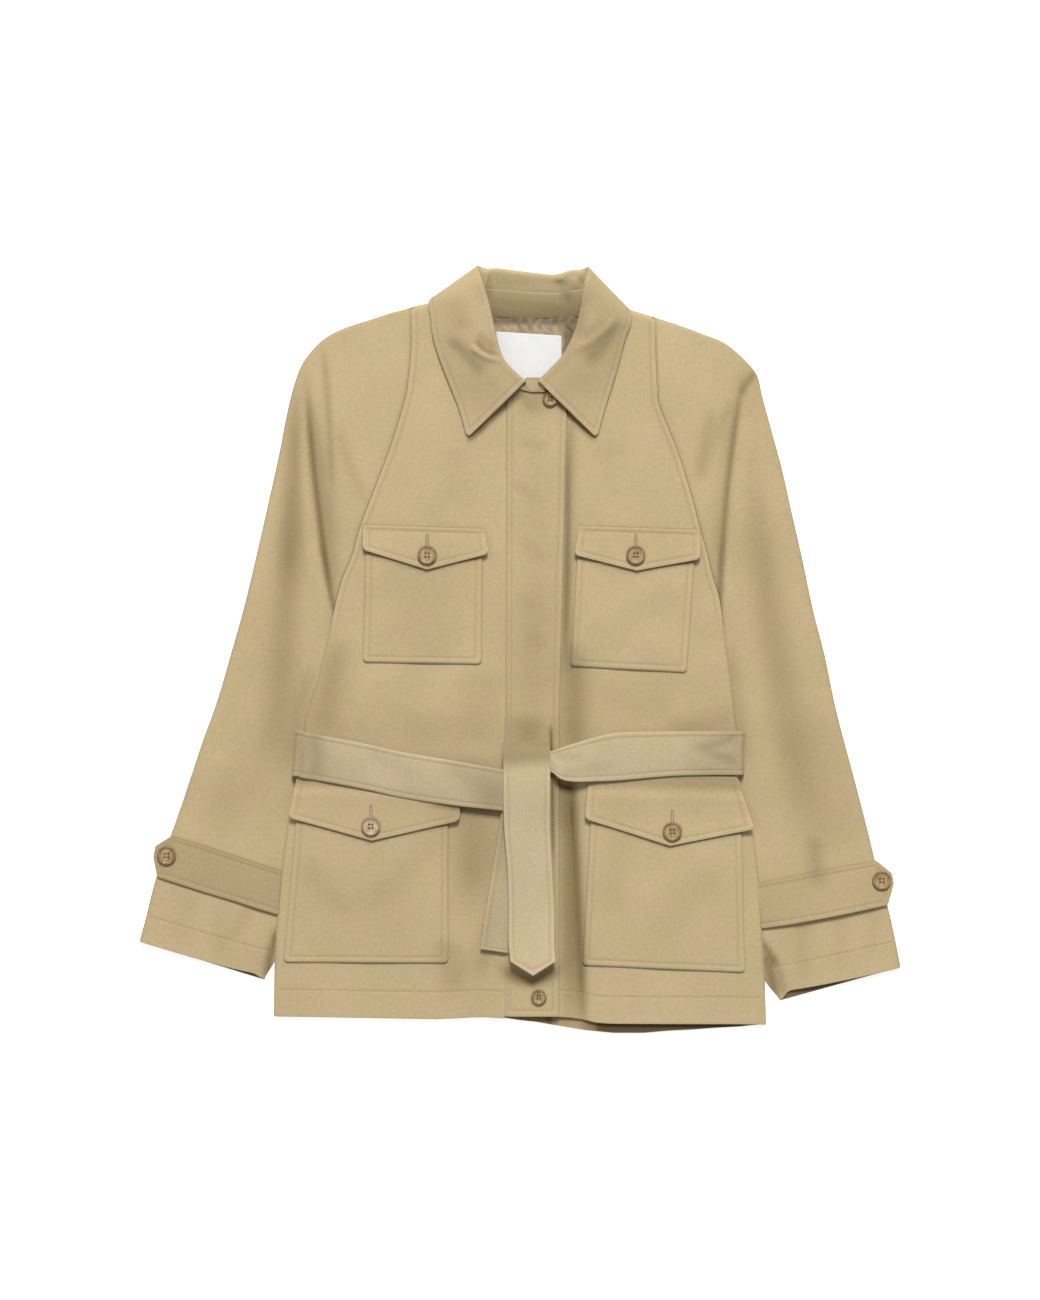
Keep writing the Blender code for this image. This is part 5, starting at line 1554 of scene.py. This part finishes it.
def belt_end(name):
    """The pointed end: up behind the knot, over its top and down in front."""
    top_y, right_x, left_x, top_rise = BELT_END[0]
    width = left_x - right_x
    across = across_point(width, BELT_STITCH, 2.6)[None]
    share = across / width
    x = right_x + width * share
    behind_y = np.linspace(BELT_END_BEHIND_Y, top_y, 8)[:, None]
    knot_sink = KNOT_SINK * smooth((behind_y - top_y + 18.0) / 14.0)
    behind_z = body_level(x, behind_y) + TRIM + 2 * LAID - knot_sink
    low = behind_z[-1:]
    half_height = 0.5 * (body_level(x, top_y) + TRIM + top_rise + BELT - low)
    angles = np.radians(np.linspace(-75, 75, 11))[:, None]
    turn_y = top_y + 1.1 * half_height * np.cos(angles)
    behind = xyz(x, behind_y, behind_z)
    over = xyz(x, turn_y, low + half_height * (1.0 + np.sin(angles)))
    length = top_y - BELT_END[-1][0]
    down = run(length, (0.0,), TIP_POINTS + (6.2, 7.0, 8.5, 10.0), 3.2)
    places = np.interp(top_y - down, [row[0] for row in BELT_END][::-1], np.arange(len(BELT_END))[::-1])
    y, edge_right, edge_left, rise = in_columns(BELT_END, places)
    x = edge_right + (edge_left - edge_right) * share
    tip = BELT_END_POINT * (1.0 - np.abs(2 * share - 1)) * smooth(1.0 - (length - down[:, None]) / 26.0)
    bow = BELT_END_BOW * np.sin(math.pi * share)
    hang = xyz(x, y - tip, body_level(x, y) + TRIM + rise + BELT + bow)
    points = np.concatenate([behind, over, hang])[::-1]
    slope = math.cos(math.atan2(BELT_END_POINT, 0.5 * width))
    to_tip = np.concatenate([np.full(len(behind) + len(over), 200.0), (length - down) * slope])[::-1, None]
    to_tip = to_tip + 0.0 * across
    sewn = 1.0 - 0.85 * smooth((points[..., 1] - KNOT_SEWN_Y) / 24.0)
    edges = both_edges(across + 0.0 * to_tip, width, BELT_STITCH, 0.5, 1, sewn)
    edges += (Edge(to_tip, BELT_STITCH, 0.5),)
    # Painted shade over the top of the knot, fading out down the end
    shade = 0.66 * smooth((points[..., 1] - KNOT_PAINTED_SHADE_Y - 0.08 * points[..., 0]) / 19.0)
    sheet(name, points, BELT_WALL, belt_twill, edges, 0.0, 1.0, (), shade)


def belt_tail(name):
    length = BELT_TAIL[0][0] - BELT_TAIL[-1][0]
    down = run(length, (0.0,), by_edge(BELT_STITCH), 3.2)
    y, right_x, left_x = in_columns(BELT_TAIL, down / length * (len(BELT_TAIL) - 1))
    width = BELT_TAIL[0][2] - BELT_TAIL[0][1]
    across = sewn_run(width, BELT_STITCH, 3.0)[None]
    share = across / width
    x = right_x + (left_x - right_x) * share
    z = body_level(x, y) + TRIM + 2 * LAID + BELT
    points = xyz(x, y - BELT_TAIL_SLANT * share, z)[::-1]
    to_end = (length - down)[::-1, None] + 0.0 * across
    edges = both_edges(across + 0.0 * to_end, width, BELT_STITCH, 0.4, 1)
    edges += (Edge(to_end, BELT_STITCH, 0.4),)
    # Painted shade: the tail darker, most towards the belt above it
    shade = 0.2 + 0.25 * smooth((points[..., 1] - BELT_TAIL_PAINTED_SHADE_Y) / 90.0)
    sheet(name, points, BELT_WALL, belt_twill, edges, 0.0, -8.0, (), shade)


def away_from(line_x, line_y, x, y):
    """Distance of points from a line of short straight runs."""
    nearest = np.full(x.shape, 1e9)
    spot = np.stack([x, y], axis=-1)
    for number in range(len(line_x) - 1):
        start = np.array((line_x[number], line_y[number]))
        step = np.array((line_x[number + 1], line_y[number + 1])) - start
        part = np.clip((spot - start) @ step / max(step @ step, 1e-9), 0.0, 1.0)
        nearest = np.minimum(nearest, np.linalg.norm(spot - start - part[..., None] * step, axis=-1))
    return nearest


def cuff_tab(name, table, right_side, grain, tone):
    """A pointed strap from under the side of the body to its button near the outer fold."""
    outward = -1.0 if right_side else 1.0
    rows = np.asarray(table, float)
    reach = line_length(0.5 * (rows[:, 0:2] + rows[:, 2:4]))
    along = run(reach[-1], (0.0, 3.0), TIP_POINTS + (6.4, 8.0, 10.0, 12.0), 3.2)
    upper_x, upper_y, lower_x, lower_y = [np.interp(along, reach, column) for column in rows.T]
    full = math.hypot(rows[0, 0] - rows[0, 2], rows[0, 1] - rows[0, 3])
    share = sewn_run(full, TAB_STITCH, 3.0)[:, None] / full
    x = lower_x + (upper_x - lower_x) * share
    y = lower_y + (upper_y - lower_y) * share
    point = (lower_x[-1], upper_x[-1]), (lower_y[-1], upper_y[-1])
    edges = (
        Edge(away_from(lower_x, lower_y, x, y), TAB_STITCH, 0.55, 0),
        Edge(away_from(upper_x, upper_y, x, y), TAB_STITCH, 0.55, 0),
        Edge(away_from(*point, x, y), 0.0, 0.5, 1),
    )
    from_seam = np.maximum(outward * (x - body_side(y, right_side)) + SLEEVE_UNDER, 0.0)
    part = along / along[-1]
    if right_side:
        loose = 0.7 + 1.2 * bell(part - 0.16, 0.14)
    else:
        loose = 0.8 + 2.2 * np.sin(math.pi * part)
    lift = 0.6 * np.sin(math.pi * share) + loose * (1.0 - share) ** 2
    z = tab_level(x, y) - sink(sleeve_level(x, y), from_seam) + lift
    # Painted shade: the strap darker by its tone, and a dark line along its upper edge
    shade = tone + 0.45 * bell(edges[1].away, 1.3)
    sheet(name, xyz(x, y, z), PATCH_WALL, twill, edges, 0.0, grain, SLEEVE_CREASES, shade, right_side)


def neck_patch(name, corners, level, wall, finish, crinkle):
    """A piece inside the neck, on the back panel."""
    top_right, top_left, low_left, low_right = [np.array(corner, float) for corner in corners]
    across = int(np.linalg.norm(low_left - low_right))
    share, up = np.meshgrid(np.linspace(0.0, 1.0, across), np.linspace(0.0, 1.0, 64))
    right = low_right + (top_right - low_right) * up[..., None]
    left = low_left + (top_left - low_left) * up[..., None]
    spot = right + (left - right) * share[..., None]
    x, y = spot[..., 0], spot[..., 1]
    gather = np.sin(x / 1.5 + 1.3 * np.sin(y / 2.9)) * (0.6 + 0.4 * np.sin(x / 7.0 + 0.7))
    gather = gather * bell(y - LINING_GATHER_Y, 7.0) + 0.35 * np.sin(x / 6.0 + y / 5.0)
    fade = np.minimum(np.minimum(share, 1.0 - share) * 20.0, 1.0)
    points = xyz(x, y, level + wall + crinkle * (1.0 + gather) * fade)
    # Painted shadows of the collar leaf and of the stand on the lining
    leaf_painted_shadow = 0.6 * smooth((x - LEAF_PAINTED_SHADOW_X) / 4.0)
    stand_painted_shadow = 0.65 * smooth((y - STAND_PAINTED_SHADOW_Y) / 6.0)
    sheet(name, points, wall, finish, creases=(), shade=np.maximum(leaf_painted_shadow, stand_painted_shadow))


def build_cloth():
    back("back")
    front("front_right", True)
    front("front_left", False)
    placket("placket")
    sleeve("sleeve_right", SLEEVE_RIGHT, True, 4.0, 3.0, -12.0)
    sleeve("sleeve_left", SLEEVE_LEFT, False, 8.0, 1.5, 11.0)
    collar_stand("collar_stand")
    collar_leaf("collar_leaf")
    neck_patch("neck_lining", NECK_LINING, CLOTH + SEAM, LINING_WALL, lining_cloth, 1.2)
    neck_patch("neck_label", NECK_LABEL, CLOTH + 2 * SEAM + LABEL + 0.6, LINING_WALL, label_cloth, 0.05)
    for name in POCKETS:
        pocket(name)
    for name in FLAPS:
        flap(name)
    belt_run("belt_run_right", BELT_RUN_RIGHT, True, 1.1, 98.0)
    belt_run("belt_run_left", BELT_RUN_LEFT, False, 0.5, 88.0)
    belt_back("belt_back")
    belt_end("belt_end")
    belt_tail("belt_tail")
    cuff_tab("cuff_tab_right", CUFF_TAB_RIGHT, True, 74.0, 0.29)
    cuff_tab("cuff_tab_left", CUFF_TAB_LEFT, False, 100.0, 0.15)


def stitch_tree():
    """Threads of one size laid along lines at an even pitch."""
    tree = bpy.data.node_groups.new("laid_stitches", "GeometryNodeTree")
    tree.interface.new_socket("Geometry", in_out="INPUT", socket_type="NodeSocketGeometry")
    tree.interface.new_socket("Geometry", in_out="OUTPUT", socket_type="NodeSocketGeometry")
    for name in STITCH_SIZES:
        tree.interface.new_socket(name, in_out="INPUT", socket_type="NodeSocketFloat")
    tree.interface.new_socket("Thread", in_out="INPUT", socket_type="NodeSocketMaterial")
    new = tree.nodes.new
    given, result = new("NodeGroupInput"), new("NodeGroupOutput")
    curve, level = new("GeometryNodeMeshToCurve"), new("GeometryNodeSetCurveNormal")
    level.mode = "Z_UP"
    points = new("GeometryNodeCurveToPoints")
    points.mode = "LENGTH"
    shape = new("GeometryNodeMeshUVSphere")
    for name, value in (("Segments", 6), ("Rings", 4), ("Radius", 0.5)):
        shape.inputs[name].default_value = value
    uneven = new("FunctionNodeRandomValue")
    uneven.data_type = "FLOAT"
    for name, value in ((2, 0.9), (3, 1.08), ("Seed", 7)):
        uneven.inputs[name].default_value = value
    length, size = new("ShaderNodeMath"), new("ShaderNodeCombineXYZ")
    length.operation = "MULTIPLY"
    laid, real = new("GeometryNodeInstanceOnPoints"), new("GeometryNodeRealizeInstances")
    soft, dyed = new("GeometryNodeSetShadeSmooth"), new("GeometryNodeSetMaterial")
    for source, output, target, socket in (
        (given, "Geometry", curve, "Mesh"),
        (curve, 0, level, 0),
        (level, 0, points, 0),
        (given, "Pitch", points, "Length"),
        (points, "Points", laid, "Points"),
        (points, "Rotation", laid, "Rotation"),
        (shape, "Mesh", laid, "Instance"),
        (given, "Along", length, 0),
        (uneven, 1, length, 1),
        (given, "Across", size, 0),
        (given, "Thickness", size, 1),
        (length, 0, size, 2),
        (size, 0, laid, "Scale"),
        (laid, 0, real, 0),
        (real, 0, soft, 0),
        (soft, 0, dyed, "Geometry"),
        (given, "Thread", dyed, "Material"),
        (dyed, 0, result, 0),
    ):
        tree.links.new(source.outputs[output], target.inputs[socket])
    return tree


def sew(name, tree, lines, sizes, finish):
    """One mesh of the stitches laid along lines of points in millimetres."""
    verts, edges = [], []
    for line in lines:
        first = len(verts)
        verts.extend((np.asarray(line) * MM).tolist())
        edges.extend((first + number, first + number + 1) for number in range(len(line) - 1))
    guide = bpy.data.meshes.new(name)
    guide.from_pydata(verts, edges, [])
    piece = add(name, guide)
    laid = piece.modifiers.new("Stitches", "NODES")
    laid.node_group = tree
    values = {socket: size * MM for socket, size in zip(STITCH_SIZES, sizes)}
    values["Thread"] = finish
    for socket in tree.interface.items_tree:
        if socket.in_out == "INPUT" and socket.name in values:
            laid[socket.identifier] = values[socket.name]
    piece.data = applied(piece, laid)
    if not piece.data.materials:
        piece.data.materials.append(finish)
    pieces[name] = piece


def surface_under(sewn_to, x, y):
    if sewn_to == "placket":
        return placket_level(x, y)
    if sewn_to == "cuff_tab":
        return tab_level(x, y) + 0.6
    return flap_level(sewn_to, x, y)


def button_seat(name):
    x, y, radius, sewn_to, _ = BUTTONS[name]
    angles = np.linspace(0.0, 2 * math.pi, 17)
    around_x = np.concatenate([[x], x + radius * np.cos(angles)])
    around_y = np.concatenate([[y], y + radius * np.sin(angles)])
    return float(np.max(surface_under(sewn_to, around_x, around_y))) + SEAM


def as_mesh(name, shape):
    mesh = bpy.data.meshes.new(name)
    shape.to_mesh(mesh)
    shape.free()
    return mesh


def button(name):
    """A turned four-hole button with a raised rim and a dished face."""
    x, y, radius, _, shade = BUTTONS[name]
    seat = button_seat(name)
    top = BUTTON_HEIGHT
    profile = (
        (0.0, 0.25),
        (radius - 2.4, 0.1),
        (radius - 0.9, 0.3),
        (radius - 0.2, 0.9),
        (radius, 1.6),
        (radius - 0.15, top - 0.65),
        (radius - 0.55, top - 0.15),
        (radius - 1.1, top),
        (radius - 1.6, top - 0.12),
        (radius - 2.1, top - 0.5),
        (radius - 2.6, top - 0.85),
        (radius - 3.4, top - 1.0),
        (0.0, top - 1.15),
    )
    shape = bmesh.new()
    rings = []
    for reach, height in profile:
        turns = BUTTON_SPOKES if reach > 0 else 1
        angles = np.linspace(0.0, 2 * math.pi, turns, endpoint=False)
        rings.append([shape.verts.new((reach * math.cos(a), reach * math.sin(a), height)) for a in angles])
    for lower, upper in zip(rings, rings[1:]):
        for turn in range(BUTTON_SPOKES):
            after = (turn + 1) % BUTTON_SPOKES
            if len(lower) == 1:
                shape.faces.new((lower[0], upper[after], upper[turn]))
            elif len(upper) == 1:
                shape.faces.new((lower[turn], lower[after], upper[0]))
            else:
                shape.faces.new((lower[turn], lower[after], upper[after], upper[turn]))
    bmesh.ops.scale(shape, vec=(MM, MM, MM), verts=shape.verts)
    piece = add(name + "_turned", as_mesh(name, shape))
    spread = HOLE_SPREAD * radius
    bits = bmesh.new()
    for side_x, side_y in HOLE_SIDES:
        size = {"radius1": HOLE_RADIUS * MM, "radius2": HOLE_RADIUS * MM, "depth": HOLE_DEPTH * MM}
        bit = bmesh.ops.create_cone(bits, cap_ends=True, segments=14, **size)
        place = (side_x * spread * MM, side_y * spread * MM, 2.0 * MM)
        bmesh.ops.translate(bits, vec=place, verts=bit["verts"])
    drill = add("drill", as_mesh("drill", bits))
    cut = piece.modifiers.new("Holes", "BOOLEAN")
    cut.operation = "DIFFERENCE"
    cut.solver = "EXACT"
    cut.object = drill
    made = applied(piece, cut)
    bpy.data.objects.remove(drill)
    made.transform(Matrix.Translation((x * MM, y * MM, seat * MM)))
    made.materials.clear()
    made.materials.append(horn("horn_" + name, shade))
    made.shade_smooth()
    made.set_sharp_from_angle(angle=math.radians(40))
    spots = np.empty(3 * len(made.vertices))
    made.vertices.foreach_get("co", spots)
    reach = np.hypot(*(spots.reshape(-1, 3)[:, :2] / MM - (x, y)).T) / radius
    store(made, "rim", smooth((reach - 0.66) / 0.2))
    piece.data = made
    pieces[name] = piece
    height = seat + top - 1.05
    loop = (0, 2, 3, 1, 0)
    return np.array([(x + HOLE_SIDES[n][0] * spread, y + HOLE_SIDES[n][1] * spread, height) for n in loop])


def buttonhole(name):
    """The lines of a buttonhole's satin stitches: a narrow loop that runs up from under its button."""
    x, y, radius, sewn_to, _ = BUTTONS[name]
    turn = np.linspace(0.0, 2 * math.pi, 61)
    loop_x = 1.15 * np.sin(turn)
    loop_y = 8.5 * np.clip(1.25 * np.cos(turn), -1.0, 1.0) + 0.6 * np.cos(turn)
    if sewn_to == "cuff_tab":
        lean = math.radians(-17.0 if "right" in name else 10.0)
        inward = 1.0 if "right" in name else -1.0
        reach = inward * (radius * 0.55 + 3.5 + loop_y)
        spot_x = x + reach * math.cos(lean) - loop_x * math.sin(lean)
        spot_y = y + reach * math.sin(lean) + loop_x * math.cos(lean)
    else:
        spot_x = x + loop_x
        spot_y = y + radius * 0.75 + 4.5 + loop_y
    return xyz(spot_x, spot_y, surface_under(sewn_to, spot_x, spot_y) + 0.04)


def build_trims():
    tree = stitch_tree()
    lines = [line + (0.0, 0.0, 0.08) for line in stitch_lines if len(line) > 3]
    sew("seam_stitches", tree, lines, SEAM_STITCHES, seam_thread)
    squares = [button(name) for name in BUTTONS]
    sew("button_threads", tree, squares, BUTTON_STITCHES, button_thread)
    flapped = [name for name in BUTTONS if name not in ("button_neck", "button_hem")]
    holes = [buttonhole(name) for name in flapped]
    sew("buttonhole_stitches", tree, holes, HOLE_STITCHES, hole_thread)


def build_stage():
    floor_mesh = bpy.data.meshes.new("floor")
    floor_mesh.from_pydata([(-4, -4, 0), (4, -4, 0), (4, 4, 0), (-4, 4, 0)], [], [(0, 1, 2, 3)])
    floor = add("floor", floor_mesh)
    floor.location.z = FLOOR_HEIGHT
    paper = bpy.data.materials.new("pale_floor")
    paper.use_nodes = True
    for name, value in (
        ("Base Color", (0.96, 0.96, 0.96, 1.0)),
        ("Roughness", 0.9),
        ("Emission Color", (1.0, 1.0, 1.0, 1.0)),
        ("Emission Strength", 0.6),
    ):
        paper.node_tree.nodes["Principled BSDF"].inputs[name].default_value = value
    floor_mesh.materials.append(paper)

    scene = bpy.context.scene
    scene.world = bpy.data.worlds.new("soft_room")
    scene.world.use_nodes = True
    room = scene.world.node_tree.nodes["Background"]
    room.inputs["Color"].default_value = (1.0, 1.0, 1.0, 1.0)
    room.inputs["Strength"].default_value = 0.36
    for name, spot, size, power in (
        ("key_softbox", (0.5, 7.0, 8.4), 3.0, 1250.0),
        ("fill_softbox", (-4.0, 1.0, 8.0), 5.2, 60.0),
    ):
        light = bpy.data.lights.new(name, "AREA")
        light.size = size
        light.energy = power
        lamp = add(name, light)
        lamp.location = spot
        tilt = math.atan2(math.hypot(spot[0], spot[1]), spot[2])
        lamp.rotation_euler = (tilt, 0.0, math.atan2(spot[0], -spot[1]))

    camera = bpy.data.cameras.new("camera")
    camera.sensor_width = SENSOR_WIDTH
    camera.lens = SENSOR_WIDTH * CAMERA_DISTANCE / FRAME_HEIGHT
    scene.camera = add("camera", camera)
    scene.camera.location = (0.0, 0.0, CAMERA_DISTANCE + CAMERA_FOCUS_HEIGHT)
    scene.view_settings.view_transform = "Standard"


build_cloth()
build_trims()
build_stage()

SLOTS = {"neck_lining": "lining", "neck_label": "label"}
for name, piece in pieces.items():
    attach(piece, "root")
    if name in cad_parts:
        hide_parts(name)
    "button" if name in BUTTONS else SLOTS.get(name, "shell_cloth")
for name, (width, length, area, held, lies_on) in CUTS.items():
    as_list(lies_on)
